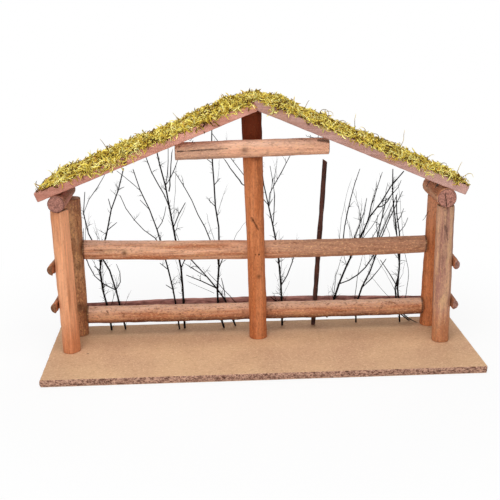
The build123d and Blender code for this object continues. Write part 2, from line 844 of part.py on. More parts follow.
# Fasteners: each kind is one group
for name, heads, length in (
    ("base_nails", base_nail_heads, base_nail_length),
    ("eave_nails", eave_nail_heads, eave_nail_length),
    ("rail_nails", rail_nail_heads, rail_nail_length),
    ("roof_nails", roof_nail_heads, roof_nail_length),
    ("batten_nails", batten_nail_heads, batten_nail_length),
):
    export(nails(heads, length, nail_shank, nail_head, nail_head_height), name)
export(nails(pin_heads, pin_length, pin_shank, pin_head, pin_head_height), "side_rail_pins")

staple_bodies = [
    staple_blank(
        x,
        height,
        front + staple_sink,
        front + staple_sink + staple_wire,
        front + staple_sink + staple_leg,
        0,
    )
    for x, front, height in staple_places
]
with BuildPart() as staples:
    add(staple_bodies)
export(staples.part, "staples")
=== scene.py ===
import math
from itertools import product

import bmesh
import bpy
import numpy as np
from mathutils import Matrix, Vector


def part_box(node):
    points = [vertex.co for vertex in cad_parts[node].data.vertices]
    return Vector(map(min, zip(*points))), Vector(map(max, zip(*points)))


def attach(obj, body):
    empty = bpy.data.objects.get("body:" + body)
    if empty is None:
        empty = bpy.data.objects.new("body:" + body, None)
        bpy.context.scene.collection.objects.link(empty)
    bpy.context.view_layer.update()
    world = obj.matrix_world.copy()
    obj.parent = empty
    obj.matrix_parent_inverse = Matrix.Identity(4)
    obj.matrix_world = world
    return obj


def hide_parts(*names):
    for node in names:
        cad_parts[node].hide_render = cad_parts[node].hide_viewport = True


# A nativity stable of peeled logs with a mossy roof and a hedge of twigs. Metres, in the frame of the solids.
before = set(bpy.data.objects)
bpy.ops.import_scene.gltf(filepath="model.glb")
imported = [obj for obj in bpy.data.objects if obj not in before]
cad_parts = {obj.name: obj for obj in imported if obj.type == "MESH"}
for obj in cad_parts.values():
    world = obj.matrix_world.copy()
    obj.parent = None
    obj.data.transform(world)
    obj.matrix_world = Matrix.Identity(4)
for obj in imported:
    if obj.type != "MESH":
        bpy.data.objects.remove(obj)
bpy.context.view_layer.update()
MM = 0.001
BODY = "root"
# Directions, by the number of their axis
ACROSS, BACK, UP = range(3)

# The roof's front view, as the solids have it
RIDGE_X = -3.0 * MM
APEX_Z = 290.0 * MM
BOARD_THICKNESS = 11.0 * MM
PITCHES = {"left": math.radians(21.6), "right": math.radians(22.8)}
OUTWARD = {"left": -1, "right": 1}

# Mesh sizes: copies of the solids are meshed anew this finely
MERGE_DISTANCE = 0.005 * MM
LOG_VOXEL = 1.15 * MM
BATTEN_VOXEL = 1.2 * MM
STICK_VOXEL = 0.6 * MM
ROOF_VOXEL = 1.05 * MM
BASE_VOXEL = 1.5 * MM
MAT_VOXEL = 2.4 * MM
TUBE_SIDES = 3

# The logs' relief: flutes and fine ridges, drawn out along the grain, dents, knots and rough ends
GRAIN_STRETCH = 0.12
FLUTE_WIDTH = 6.5 * MM
FLUTE_DEPTH = 0.35 * MM
STICK_FLUTE_DEPTH = 0.2 * MM
RIDGE_WIDTH = 2.1 * MM
RIDGE_DEPTH = 0.16 * MM
DENT_WIDTH = 9.0 * MM
DENT_DEPTH = 0.3 * MM
END_GRAIN_WIDTH = 1.8 * MM
END_GRAIN_DEPTH = 0.12 * MM
KNOT_DEPTH_SHARE = 0.16
# The flat face of the left front post: how far it turns to the right, and its distance from the post's middle
HEWN_TURN = 0.9
HEWN_DISTANCE = 8.2 * MM
# The staple that shows in the centre post
STAPLE_X = -3.0 * MM
# A small dark stain on the base board
BASE_STAIN = (-205.0 * MM, -10.0 * MM, 9.0 * MM)

# Bumps, each a width and a depth in mm
ROOF_BUMPS = ((28, 0.25), (4, 0.16))
BASE_RIM_BUMPS = ((2.6, 0.45), (9, 0.35))
MAT_BUMPS = ((13, 2.6), (5, 0.8))
TWIG_BUMPS = ((3, 0.15),)
TWIG_BARK = 0.22 * MM

# How far the moss hangs over each board's front: percents of its way from ridge to eave and of the board's
# thickness
FRINGE_PERCENTS = {
    "left": (
        (0, 35), (5, 20), (10, 25), (12, 45), (15, 20), (19, 40), (23, 25), (26, 50), (30, 15), (37, 20),
        (42, 35), (46, 15), (54, 35), (59, 55), (63, 80), (69, 80), (75, 70), (78, 20), (82, 5), (86, 25),
        (90, 0), (94, -13), (100, -13),
    ),
    "right": (
        (0, 30), (4, 10), (6, 105), (8.5, 25), (12, 0), (18, 0), (25, 20), (32, 5), (39, 17), (52, 14),
        (58, 20), (62, 50), (65, 38), (68, 13), (73, 12), (78, 60), (81, 60), (83, 0), (85, -13), (90, -13),
        (92.5, 10), (94.5, 50), (96, 10), (97.5, -13), (100, -13),
    ),
}
FRINGE_STEPS = 120
FRINGE_DENSITY = 170000.0
FRINGE_SIZES = {"left": 0.9, "right": 0.8}
# The moss is thinner at the eaves, and ends a little short of its solid
END_TAPERS = {"left": 3.2 * MM, "right": 1.2 * MM}
END_PULLS = {"left": 4.5 * MM, "right": 2.0 * MM}
END_MARGIN = 8.5 * MM
# The mat's mound: sunk all over, raised on both sides of the ridge and dipping over it
MAT_SINK = 1.8 * MM
SHOULDER_HEIGHT = 3.0 * MM
SHOULDER_PLACE = 28 * MM
SHOULDER_WIDTH = 18 * MM
RIDGE_DIP = 3.4 * MM
RIDGE_DIP_WIDTH = 12 * MM
END_TAPER_WIDTH = 16 * MM
END_PULL_WIDTH = 40 * MM
# The layers of strands on the moss: strands in a square metre, size, and how far they go beyond the rest
MOSS_LAYERS = ((64000.0, 1.0, 0.0), (64000.0, 1.0, 0.0), (70000.0, 0.42, 7 * MM))
STRAND_LENGTH = 15.0 * MM
STRAND_GIRTH = 0.84 * MM
# The strip of strands over the ridge, where the moss of the two boards meets
RIDGE_STRIP_HALF_WIDTH = 9 * MM
RIDGE_STRIP_LIFT = BOARD_THICKNESS + 3.0 * MM
RIDGE_STRIP_INSET = 3 * MM
RIDGE_STRIP_DENSITY = 190000.0
RIDGE_STRIP_SIZE = 0.58
# Hairs that stand out of the moss: share of the slope from the ridge, length in mm, lean and curl
HAIR_GIRTH = 0.5 * MM
HAIR_ROOT_LIFT = 10 * MM
STRAY_HAIRS = {
    "left": (
        (0.19, 20, -0.3, 0.5), (0.25, 14, -0.9, 0.5), (0.31, 16, -1.8, 0.1), (0.5, 10, 0.2, 0.1),
        (0.66, 18, -0.6, 0.0), (0.74, 13, 0.1, 0.0), (0.75, 17, 0.9, 0.0), (0.86, 11, -0.4, 0.2),
        (0.93, 10, 0.3, -0.3),
    ),
    "right": (
        (0.2, 11, 0.2, 0.1), (0.27, 22, 0.0, 0.5), (0.29, 20, -0.2, 0.4), (0.35, 18, 0.2, 0.45),
        (0.44, 20, 0.0, 0.0), (0.49, 13, 0.3, -0.3), (0.55, 20, 0.2, -0.35), (0.66, 23, 0.9, -0.12),
        (0.79, 12, 0.3, 0.2), (0.87, 12, 0.2, 0.5), (0.94, 14, 0.4, 0.0), (0.99, 14, 0.5, 0.3),
    ),
}

# Long shoots of the hedge, drawn through three places across and up in mm: girth, foot, bend and tip
FINE = 0.32 * MM
STURDY = 0.55 * MM
STOUT = 0.95 * MM
LONG_SHOOTS = (
    (FINE, (102, 115), (106, 157), (117, 199)), (FINE, (117, 115), (125, 138), (130, 167)),
    (STURDY, (129, 114), (138, 152), (147, 194)), (STURDY, (129, 117), (146, 142), (167, 179)),
    (STOUT, (148, 160), (159, 165), (167, 181)), (STURDY, (139, 114), (155, 144), (166, 172)),
    (FINE, (147, 114), (157, 139), (165, 159)), (STOUT, (149, 114), (162, 148), (174, 179)),
    (STURDY, (177, 113), (170, 139), (167, 169)), (FINE, (182, 113), (178, 154), (172, 199)),
    (FINE, (169, 113), (159, 139), (154, 161)), (FINE, (135, 132), (143, 161), (146, 196)),
    (STURDY, (154, 163), (158, 176), (160, 191)), (FINE, (168, 150), (177, 152), (184, 154)),
    (STURDY, (97, 39), (99, 74), (108, 102)), (STURDY, (123, 38), (126, 72), (132, 101)),
    (FINE, (171, 37), (152, 59), (136, 80)), (FINE, (181, 37), (165, 68), (145, 101)),
    (STURDY, (186, 37), (190, 72), (182, 105)), (FINE, (176, 56), (182, 74), (185, 90)),
    (STOUT, (-106, 185), (-103, 212), (-100, 238)), (FINE, (-101, 151), (-99, 185), (-96, 222)),
    (STOUT, (-13, 188), (-28, 207), (-41, 226)), (FINE, (-30, 118), (-22, 135), (-11, 147)),
    (FINE, (-52, 119), (-58, 142), (-62, 158)), (FINE, (-99, 138), (-93, 153), (-85, 169)),
    (STURDY, (-27, 40), (-44, 61), (-65, 86)), (FINE, (-54, 54), (-72, 63), (-89, 72)),
)
# A root on the floor and a splinter on the right back post: girth, then foot, bend and tip in mm
LOOSE_ENDS = (
    (STOUT, (182, 62, 23), (194, 62, 13), (203, 57, 10.2)),
    (STURDY, (207, 50, 156), (204, 49, 150), (201, 49, 145)),
)
# Litter on the collar beam: shares of its length
LITTER_SHARES = (0.05, 0.07, 0.10, 0.12, 0.88, 0.90, 0.93)
LITTER_LENGTH = 8 * MM
LITTER_GIRTH = 0.5 * MM

# Camera: where the photograph was taken from
LENS_MM = 65.84
SENSOR_MM = 36.0
CAMERA_NEAR = 0.05
CAMERA_FAR = 20.0
CAMERA_PLACE = Vector((-68.6, -1017.6, 422.2)) * MM
CAMERA_PITCH = 0.2812
CAMERA_YAW = 0.055
CAMERA_ROLL = -0.0098

# Light: the room's own, and each lamp's place, size and power
ROOM_LIGHT = 0.24
LIGHT_AIM = Vector((0.0, 0.0, 0.12))
LAMPS = (
    ("top_light", (-0.1, -0.60, 1.65), 1.2, 17.5),
    ("front_fill", (-0.5, -1.7, 0.75), 1.2, 13.0),
    ("back_fill", (0.1, 1.3, 1.0), 1.2, 8.0),
)
FLOOR_REACH = 6.0
FLOOR_LEVEL = -0.7 * MM
WHITE = (1.0, 1.0, 1.0, 1.0)
PAPER = (0.92, 0.92, 0.92, 1.0)


def srgb(red, green, blue):
    """A colour as it looks on a screen, 0 to 255, as the shader's linear colour."""
    def linear(value):
        share = value / 255
        return share / 12.92 if share <= 0.04045 else ((share + 0.055) / 1.055) ** 2.4

    return (linear(red), linear(green), linear(blue), 1.0)


# Tones of the stained wood that several logs share, and painted light and shade on them
SALMON = srgb(238, 170, 128)
PALE = srgb(232, 180, 148)
ROSE = srgb(236, 184, 152)
TAN = srgb(216, 166, 130)
CLAY = srgb(212, 134, 88)
ORANGE = srgb(186, 108, 64)
RUST = srgb(190, 122, 86)
BROWN = srgb(150, 100, 70)
OCHRE = srgb(224, 178, 126)
MAUVE = srgb(184, 134, 118)
ROSEWOOD = srgb(204, 142, 124)
GREY = srgb(172, 138, 120)
# Painted shade for the underside of the lower rail
UMBER = srgb(84, 44, 28)
# Painted highlight for the tops of the level logs
TOP_HIGHLIGHT = srgb(246, 202, 176)
GAP_SHADOW = srgb(70, 36, 22)


def new_object(name, data):
    """A new object in the scene."""
    thing = bpy.data.objects.new(name, data)
    bpy.context.scene.collection.objects.link(thing)
    return thing


def new_mesh(name, corners, faces):
    """A mesh from its corners and faces."""
    mesh = bpy.data.meshes.new(name)
    mesh.from_pydata(corners, [], faces)
    return mesh


def add_camera():
    """The camera, as the photograph's was."""
    data = bpy.data.cameras.new("camera")
    data.lens = LENS_MM
    data.sensor_width = SENSOR_MM
    data.clip_start = CAMERA_NEAR
    data.clip_end = CAMERA_FAR
    across = Vector((math.cos(CAMERA_YAW), -math.sin(CAMERA_YAW), 0))
    ahead = Vector((
        math.sin(CAMERA_YAW) * math.cos(CAMERA_PITCH),
        math.cos(CAMERA_YAW) * math.cos(CAMERA_PITCH),
        -math.sin(CAMERA_PITCH),
    ))
    upward = across.cross(ahead)
    right = across * math.cos(CAMERA_ROLL) + upward * math.sin(CAMERA_ROLL)
    top = upward * math.cos(CAMERA_ROLL) - across * math.sin(CAMERA_ROLL)
    camera = new_object("camera", data)
    turn = Matrix((right, top, -ahead)).transposed().to_4x4()
    camera.matrix_world = Matrix.Translation(CAMERA_PLACE) @ turn
    bpy.context.scene.camera = camera


def math_operator(operation, swapped=False):
    """A method that adds a Math node in place of an operator."""
    def apply(self, other):
        first, second = (other, self) if swapped else (self, other)
        return self.math(operation, first, second)

    return apply


class Field:
    """A node's output. Sums and products of fields add Math nodes to their tree."""

    __add__ = math_operator("ADD")
    __radd__ = math_operator("ADD", swapped=True)
    __sub__ = math_operator("SUBTRACT")
    __rsub__ = math_operator("SUBTRACT", swapped=True)
    __mul__ = math_operator("MULTIPLY")
    __truediv__ = math_operator("DIVIDE")
    __pow__ = math_operator("POWER")
    __lt__ = math_operator("LESS_THAN")
    __gt__ = math_operator("GREATER_THAN")

    def __init__(self, graph, socket):
        self.graph = graph
        self.socket = socket

    def math(self, operation, first, second=0.0, clamp=False):
        sockets = {0: first, 1: second}
        return self.graph.node("ShaderNodeMath", sockets, operation=operation, use_clamp=clamp)

    def clamped(self):
        return self.math("ADD", self, 0.0, clamp=True)

    def absolute(self):
        return self.math("ABSOLUTE", self)

    def fade(self, start, end):
        """0 at start, 1 at end, eased between."""
        sockets = {"Value": self, "From Min": start, "From Max": end}
        if start > end:
            sockets.update({"From Min": end, "From Max": start, "To Min": 1.0, "To Max": 0.0})
        return self.graph.node("ShaderNodeMapRange", sockets, interpolation_type="SMOOTHSTEP")


class Graph:
    """A node tree, with one method that adds any node."""

    def __init__(self, tree):
        self.tree = tree

    def node(self, kind, sockets=None, output=0, **settings):
        made = self.tree.nodes.new(kind)
        for key, value in settings.items():
            if key == "stops":
                self.set_stops(made.color_ramp, value)
            else:
                setattr(made, key, value)
        self.join(made, sockets or {})
        return Field(self, self.pick(made.outputs, output))

    def join(self, node, sockets):
        """Links a node's inputs to fields, or sets their values."""
        for key, value in sockets.items():
            target = self.pick(node.inputs, key)
            for item in value if isinstance(value, list) else [value]:
                if isinstance(item, Field):
                    self.tree.links.new(item.socket, target)
                else:
                    target.default_value = item

    @staticmethod
    def pick(sockets, key):
        """A socket by its number, or the first live one by its name."""
        if isinstance(key, int):
            return sockets[key]
        return next(socket for socket in sockets if socket.enabled and socket.name == key)

    @staticmethod
    def set_stops(ramp, stops):
        while len(ramp.elements) < len(stops):
            ramp.elements.new(1.0)
        for element, (place, colour) in zip(ramp.elements, stops):
            element.position = place
            element.color = colour

    def mix(self, factor, first, second):
        """A blend of two colours."""
        return self.node("ShaderNodeMix", {0: factor, 6: first, 7: second}, 2, data_type="RGBA")

    def coats(self, colour, *coats):
        """A colour under coats of others, each with its strength."""
        for strength, tone in coats:
            colour = self.mix(strength, colour, tone)
        return colour

    def shade(self, colour, amount):
        """A colour multiplied by a grey amount."""
        sockets = {0: 1.0, 6: colour, 7: amount}
        return self.node("ShaderNodeMix", sockets, 2, data_type="RGBA", blend_type="MULTIPLY")

    def attribute(self, name):
        return self.node("ShaderNodeAttribute", output="Fac", attribute_name=name)

    def vector(self, operation, sockets, output=0):
        return self.node("ShaderNodeVectorMath", sockets, output, operation=operation)

    def along(self, axis, vector):
        """A vector's part along one axis."""
        return self.node("ShaderNodeSeparateXYZ", {0: vector}, axis)

    def rays(self, *kinds):
        """1 for light rays of these kinds, 0 for others."""
        hits = [self.node("ShaderNodeLightPath", output=f"Is {kind} Ray") for kind in kinds]
        return sum(hits[1:], hits[0]).clamped()


class Surface(Graph):
    """A material in the making: patterns on Object coordinates, and one Principled shader."""

    def __init__(self, name):
        self.material = bpy.data.materials.new(name)
        self.material.use_nodes = True
        super().__init__(self.material.node_tree)
        self.shader = self.tree.nodes["Principled BSDF"]
        self.place = self.node("ShaderNodeTexCoord", output="Object")

    def noise(self, scale, detail=3.0, roughness=0.55, offset=(0, 0, 0), distortion=0.0):
        """Soft noise with so many waves to the metre, the same each way or along each axis."""
        scales = scale if isinstance(scale, tuple) else (scale, scale, scale)
        mapping = {"Vector": self.place, "Location": offset, "Scale": scales}
        sockets = {
            "Vector": self.node("ShaderNodeMapping", mapping),
            "Scale": 1.0,
            "Detail": detail,
            "Roughness": roughness,
            "Distortion": distortion,
        }
        return self.node("ShaderNodeTexNoise", sockets)

    def from_line(self, start, end, waver):
        """Distance from a line between two points, wavering a little."""
        run = Vector(end) - Vector(start)
        offset = self.vector("SUBTRACT", {0: self.place, 1: start})
        share = self.vector("DOT_PRODUCT", {0: offset, 1: run}, "Value")
        share = (share / max(run.length_squared, MM * MM)).clamped()
        reach = self.vector("SCALE", {0: tuple(run), "Scale": share})
        miss = self.vector("SUBTRACT", {0: offset, 1: reach})
        return self.vector("LENGTH", {0: miss}, "Value") + waver

    def finish(self, colour, roughness, height=None, depth=0.0, gloss=0.2, metal=0.0):
        """Joins colour, roughness and bump to the shader."""
        sockets = {"Base Color": colour, "Roughness": roughness}
        sockets.update({"Specular IOR Level": gloss, "Metallic": metal})
        if height is not None:
            sockets["Normal"] = self.node("ShaderNodeBump", {"Height": height, "Distance": depth})
        self.join(self.shader, sockets)
        return self.material


def grained(axis, lengthwise, crosswise):
    """A pattern's scale: slow along one axis and quick across it."""
    return tuple(lengthwise if number == axis else crosswise for number in range(3))


def darker(colour, share):
    """The same colour with so much of its light."""
    return tuple(channel * share for channel in colour[:3]) + (1.0,)


def yellower(colour):
    """A lighter and yellower flake of the same wood."""
    red, green, blue = colour[:3]
    return (min(1.15 * red, 1.0), min(1.2 * green, 1.0), 0.95 * blue, 1.0)


def peeled_wood(
    name, axis, light, deep, patch, patchiness, flecking=1.0, marks=(), tints=(), soaked=(), broken=()
):
    """Peeled branch wood under a thin stain: long fibres, blotches of inner bark, flecks and cut ends.

    A tint is an axis, a place on it, a length and a colour: from that place on, over that length, the wood
    takes it; some tints are the wood's own tones, and some are painted highlight and painted shade. A painted
    shade in soaked covers the flecks too. A mark is a dark line: its ends, reach and strength.
    A broken mark shows only between the fibres.
    """
    skin = Surface(name)
    fibres = skin.noise(grained(axis, 24, 520), 4, 0.62)
    streaks = skin.noise(grained(axis, 9, 130), 3, 0.55, distortion=0.4)
    blotches = skin.noise(grained(axis, 17, 62), 4, 0.62, (0.4, 0.7, 0.2), 0.6)
    flecks = skin.noise(grained(axis, 330, 560), 4, 0.7)
    torn = skin.noise(grained(axis, 100, 260), 4, 0.72, (0.9, 0.1, 0.5))
    blotched = blotches.fade(0.62 - 0.22 * patchiness, 0.78) * (0.35 + 0.5 * patchiness)

    def tone_and_light_coats(tints):
        """A coat for each tint, with a blotchy border."""
        for way, place, length, tone in tints:
            shifted = skin.along(way, skin.place) + (blotches - 0.5) * abs(length)
            yield shifted.fade(place, place + length) * 0.85, tone

    colour = skin.coats(light, (streaks.fade(0.36, 0.64), deep), (blotched, patch), *tone_and_light_coats(tints))
    colour = skin.coats(
        skin.shade(colour, 0.50 + fibres),
        (torn.fade(0.55, 0.70) * (0.55 * flecking), darker(deep, 0.52)),
        (flecks.fade(0.54, 0.64) * (0.6 * flecking), yellower(light)),
        (flecks.fade(0.46, 0.36) * (0.55 * flecking), darker(deep, 0.6)),
        *tone_and_light_coats(soaked),
        (skin.attribute("knot").clamped() * 0.8, darker(deep, 0.22)),
    )
    ring = skin.attribute("ring")
    swing = ring * 34 + blotches * 14
    rings = swing.math("SINE", swing)
    face = skin.mix(0.5 + rings * 0.3, darker(patch, 1.1), darker(patch, 0.72))
    face = skin.coats(
        skin.mix(flecks.fade(0.42, 0.58), darker(patch, 0.5), face),
        (torn.fade(0.50, 0.64) * 0.6, darker(patch, 0.4)),
        (ring.fade(0.80, 0.97) * 0.8, darker(patch, 0.28)),
    )
    colour = skin.mix(skin.attribute("cut").fade(0.45, 0.75), colour, face)
    height = fibres * 0.5 + (torn * 0.3 + flecks * 0.4 - torn.fade(0.55, 0.67) * 0.3) * flecking
    waver = (skin.noise(160, 2) - 0.5) * (1.6 * MM)
    for start, end, reach, dark in marks:
        near = skin.from_line(start, end, waver).fade(reach, reach * 0.35)
        colour = skin.mix(near * dark, colour, darker(deep, 0.1))
        height = height - near * 0.8
    for start, end, reach, dark in broken:
        near = skin.from_line(start, end, waver).fade(reach, reach * 0.2)
        near = near * (fibres.fade(0.60, 0.42) * 0.7 + flecks.fade(0.52, 0.38) * 0.5)
        colour = skin.mix(near * dark, colour, darker(deep, 0.34))
    return skin.finish(colour, 0.66 + fibres * 0.2, height, 1.4 * MM)


def sawn_wood(name, light, deep, tint, eave_tone, eave):
    """A sawn softwood board: growth bands, saw marks across, an uneven stain and another tone at the eave."""
    skin = Surface(name)
    bands = skin.noise((9, 46, 260), 3, 0.5, distortion=0.5)
    saw = skin.noise((620, 40, 120), 2, 0.5)
    stain = skin.noise((24, 60, 60), 4, 0.6)
    pores = skin.noise((300, 900, 900), 2, 0.6)
    colour = skin.coats(
        light,
        (bands.fade(0.35, 0.68), deep),
        (stain.fade(0.45, 0.75) * 0.65, tint),
        (skin.along(ACROSS, skin.place).fade(0.45 * eave, 0.9 * eave) * 0.6, eave_tone),
    )
    colour = skin.shade(colour, 0.82 + saw * 0.2 + pores * 0.16)
    colour = skin.mix(pores.fade(0.38, 0.27) * 0.5, colour, darker(deep, 0.45))
    return skin.finish(colour, 0.72, saw * 0.5 + pores * 0.35 + bands * 0.2, 0.7 * MM)


def fibreboard():
    """Hard fibreboard: a tan face speckled with fine fibres, one small stain, and a rough edge of chips."""
    skin = Surface("fibreboard")
    cloud = skin.noise(14, 4, 0.6)
    fibre = skin.noise(480, 3, 0.7)
    strand = skin.noise((260, 620, 620), 3, 0.65, (0.3, 0.2, 0.9))
    chips = skin.noise((260, 260, 520), 4, 0.75, distortion=0.9)
    stain = skin.from_line(BASE_STAIN, BASE_STAIN, (cloud - 0.5) * (2 * MM)).fade(2.0 * MM, 0.8 * MM)
    face = skin.coats(
        srgb(217, 177, 138),
        (cloud.fade(0.3, 0.72), srgb(202, 160, 127)),
        (fibre.fade(0.50, 0.66) * 0.55, srgb(240, 208, 166)),
        (strand.fade(0.46, 0.30) * 0.5, srgb(158, 112, 80)),
        (stain * 0.7, srgb(80, 50, 36)),
    )
    edge = skin.coats(
        srgb(108, 70, 56),
        (chips.fade(0.42, 0.58), srgb(206, 160, 136)),
        (chips.fade(0.42, 0.34), srgb(62, 36, 30)),
        (fibre.fade(0.52, 0.66) * 0.5, srgb(222, 182, 158)),
        (fibre.fade(0.46, 0.34) * 0.6, srgb(84, 52, 42)),
    )
    rim = skin.attribute("rim")
    colour = skin.mix(rim.fade(0.35, 0.65), face, edge)
    return skin.finish(colour, 0.78, fibre * 0.35 + chips * rim * 1.4, 0.8 * MM, gloss=0.18)


def bark(name, axis, light, deep):
    """Thin bark left on a branch, with pale breathing pores and long cracks."""
    skin = Surface(name)
    plates = skin.noise(grained(axis, 45, 210), 4, 0.65, distortion=0.6)
    pores = skin.noise(grained(axis, 420, 190), 2, 0.5, (0.2, 0.8, 0.4))
    colour = skin.coats(
        deep,
        (plates.fade(0.32, 0.66), light),
        (pores.fade(0.67, 0.75) * 0.6, srgb(158, 128, 112)),
        (skin.attribute("cut").fade(0.45, 0.75), srgb(176, 128, 96)),
    )
    return skin.finish(colour, 0.7, plates * 0.8 + pores * 0.3, 1.0 * MM, gloss=0.25)


def twig_bark():
    """Dry twigs, almost black, a little paler where the skin has worn."""
    skin = Surface("twig_bark")
    worn = skin.noise((260, 260, 90), 3, 0.6)
    joints = skin.noise(700, 2, 0.5)
    colour = skin.mix(worn.fade(0.60, 0.84), srgb(20, 15, 14), srgb(66, 54, 50))
    colour = skin.shade(colour, 0.6 + joints * 0.6)
    return skin.finish(colour, 0.8, worn * 0.6 + joints * 0.4, 0.4 * MM, gloss=0.1)


def moss_green():
    """Dry moss: every strand has its own tone, from olive and yellow to straw and rust, under painted light
    and shade in clumps, and painted shade that darkens it from its tip down to its root.
    """
    skin = Surface("moss_green")
    # Painted light and shade: clumps of strands lighter and darker than their own tones
    clump_light_and_shade = skin.noise(75, 3, 0.6)
    tone = (skin.attribute("tone") * 0.68 + clump_light_and_shade.fade(0.32, 0.68) * 0.32).clamped()
    stops = (
        (0.0, srgb(40, 20, 8)),
        (0.18, srgb(112, 74, 24)),
        (0.36, srgb(216, 182, 64)),
        (0.60, srgb(255, 236, 112)),
        (0.86, srgb(255, 248, 172)),
        (0.93, srgb(222, 160, 80)),
        (1.0, srgb(120, 64, 34)),
    )
    strand = skin.node("ShaderNodeValToRGB", {0: tone}, stops=stops)
    # Painted shade: each strand darker towards its root, paler to its tip
    colour = skin.shade(strand, 0.38 + skin.attribute("tip") * 0.76)
    return skin.finish(colour, 0.8, gloss=0.15)


def moss_bed():
    """The matted old moss under the strands, in its own brown and painted darker as the shade where it shows
    between them.
    """
    skin = Surface("moss_bed")
    clumps = skin.noise(150, 4, 0.65)
    # Painted shade: the bed is dark so that the gaps between strands read as shade
    colour = skin.mix(clumps.fade(0.35, 0.68), srgb(50, 32, 12), srgb(122, 94, 34))
    return skin.finish(colour, 0.9, clumps, 3.0 * MM, gloss=0.1)


def wire_steel():
    """Plain drawn wire, dulled."""
    skin = Surface("wire_steel")
    drawn = skin.noise(900, 3, 0.6)
    colour = skin.mix(drawn, srgb(52, 44, 40), srgb(92, 82, 76))
    return skin.finish(colour, 0.38 + drawn * 0.25, drawn, 0.05 * MM, gloss=0.5, metal=1.0)


def soft_noise(points):
    """Smooth noise from -1 to 1 at many points at once."""
    cell = np.floor(points).astype(np.int64)
    part = points - cell
    ease = part * part * (3 - 2 * part)
    total = np.zeros(len(points))
    for corner in product((0, 1), repeat=3):
        key = ((cell + corner) * (73856093, 19349663, 83492791)).sum(axis=1)
        key = (key ^ (key >> 13)) * 1274126177 & 0xFFFFFF
        weight = np.where(corner, ease, 1 - ease).prod(axis=1)
        total += weight * (key / 0x7FFFFF - 1)
    return total


def bumps(places, sizes):
    """How far a rough surface stands out at each place: a sum of bumps of several widths and depths."""
    return sum(soft_noise(places / (width * MM)) * depth * MM for width, depth in sizes)


def swell(distance, height, width):
    """A smooth rise of so much height, over about so much width on each side."""
    return height * np.exp(-((distance / width) ** 2))


def cad_copy(node, name):
    """A merged copy of a solid's mesh, as a new object."""
    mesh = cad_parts[node].data.copy()
    mesh.materials.clear()
    work = bmesh.new()
    work.from_mesh(mesh)
    bmesh.ops.remove_doubles(work, verts=work.verts, dist=MERGE_DISTANCE)
    work.to_mesh(mesh)
    work.free()
    return new_object(name, mesh)


def close_holes(piece):
    """Gives a log its hull: the thin wall beside its nail holes would break open when it is meshed anew."""
    work = bmesh.new()
    for vertex in piece.data.vertices:
        work.verts.new(vertex.co)
    hull = bmesh.ops.convex_hull(work, input=work.verts)
    inner = {*hull["geom_interior"], *hull["geom_unused"]}
    inner = [part for part in inner if isinstance(part, bmesh.types.BMVert)]
    bmesh.ops.delete(work, geom=inner, context="VERTS")
    work.to_mesh(piece.data)
    work.free()


def settle(piece):
    """Turns a piece with modifiers into a plain mesh."""
    graph = bpy.context.evaluated_depsgraph_get()
    mesh = bpy.data.meshes.new_from_object(piece.evaluated_get(graph))
    piece.modifiers.clear()
    piece.data = mesh


def remesh(piece, voxel):
    """Meshes a piece anew, evenly."""
    modifier = piece.modifiers.new("even_mesh", "REMESH")
    modifier.mode = "VOXEL"
    modifier.voxel_size = voxel
    modifier.use_smooth_shade = True
    settle(piece)


def read_points(mesh):
    """Vertex places and normals as arrays."""
    arrays = []
    for source, name in ((mesh.vertices, "co"), (mesh.vertex_normals, "vector")):
        values = np.empty(len(mesh.vertices) * 3)
        source.foreach_get(name, values)
        arrays.append(values.reshape(-1, 3))
    return arrays


def write_points(mesh, places):
    mesh.vertices.foreach_set("co", places.ravel())
    mesh.update()


def write_attribute(mesh, name, values):
    mesh.attributes.new(name, "FLOAT", "POINT").data.foreach_set("value", values.astype(np.float32))


def dress(piece, material, slot, *nodes):
    """Gives a finished piece its material and its place in the frame."""
    piece.data.materials.clear()
    piece.data.materials.append(material)
    if nodes:
        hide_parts(*nodes)
    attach(piece, BODY)


def weathered_log(node, axis, material, slot, voxel, knots=(), hewn=None, flute_depth=FLUTE_DEPTH):
    """A log with the shape of its solid and the surface of a branch: shallow flutes, knots and rough ends.

    A hewn log has a flat along one side: the way that the flat faces, and how far it lies from the axis.
    """
    piece = cad_copy(node, node + "_wood")
    if node.startswith("eave_log"):
        close_holes(piece)
    remesh(piece, voxel)
    places, normals = read_points(piece.data)
    run = places[:, axis]
    centre = np.zeros_like(places)
    centre[:, axis] = run
    for number in (ACROSS, BACK, UP):
        if number != axis:
            centre[:, number] = np.polyval(np.polyfit(run, places[:, number], 2), run)
    ring = np.linalg.norm(places - centre, axis=1)
    cut = np.abs(normals[:, axis])
    stretch = np.array(grained(axis, GRAIN_STRETCH, 1.0))
    flutes = soft_noise(places * stretch / FLUTE_WIDTH)
    ridges = soft_noise(places * stretch / RIDGE_WIDTH + 40)
    dents = soft_noise(places / DENT_WIDTH + 80)
    side = 1 - np.clip((cut - 0.4) / 0.4, 0, 1)
    move = side * (flutes * flute_depth + ridges * RIDGE_DEPTH + dents * DENT_DEPTH)
    move += (1 - side) * soft_noise(places / END_GRAIN_WIDTH) * END_GRAIN_DEPTH
    knot = np.zeros(len(places))
    for place, size in knots:
        far = np.linalg.norm(places - np.array(place), axis=1) / size
        move += side * (swell(far - 0.75, 0.75, 0.32) - swell(far, 0.9, 0.4)) * KNOT_DEPTH_SHARE * size
        knot += swell(far, 1.0, 0.75)
    places = places + normals * move[:, None]
    if hewn is not None:
        facing, distance = hewn
        beyond = np.clip((places - centre) @ np.array(facing) - distance, 0, None)
        places -= beyond[:, None] * np.array(facing)
    write_points(piece.data, places)
    write_attribute(piece.data, "ring", ring / np.percentile(ring, 95))
    write_attribute(piece.data, "cut", cut)
    write_attribute(piece.data, "knot", knot)
    dress(piece, material, slot, node)


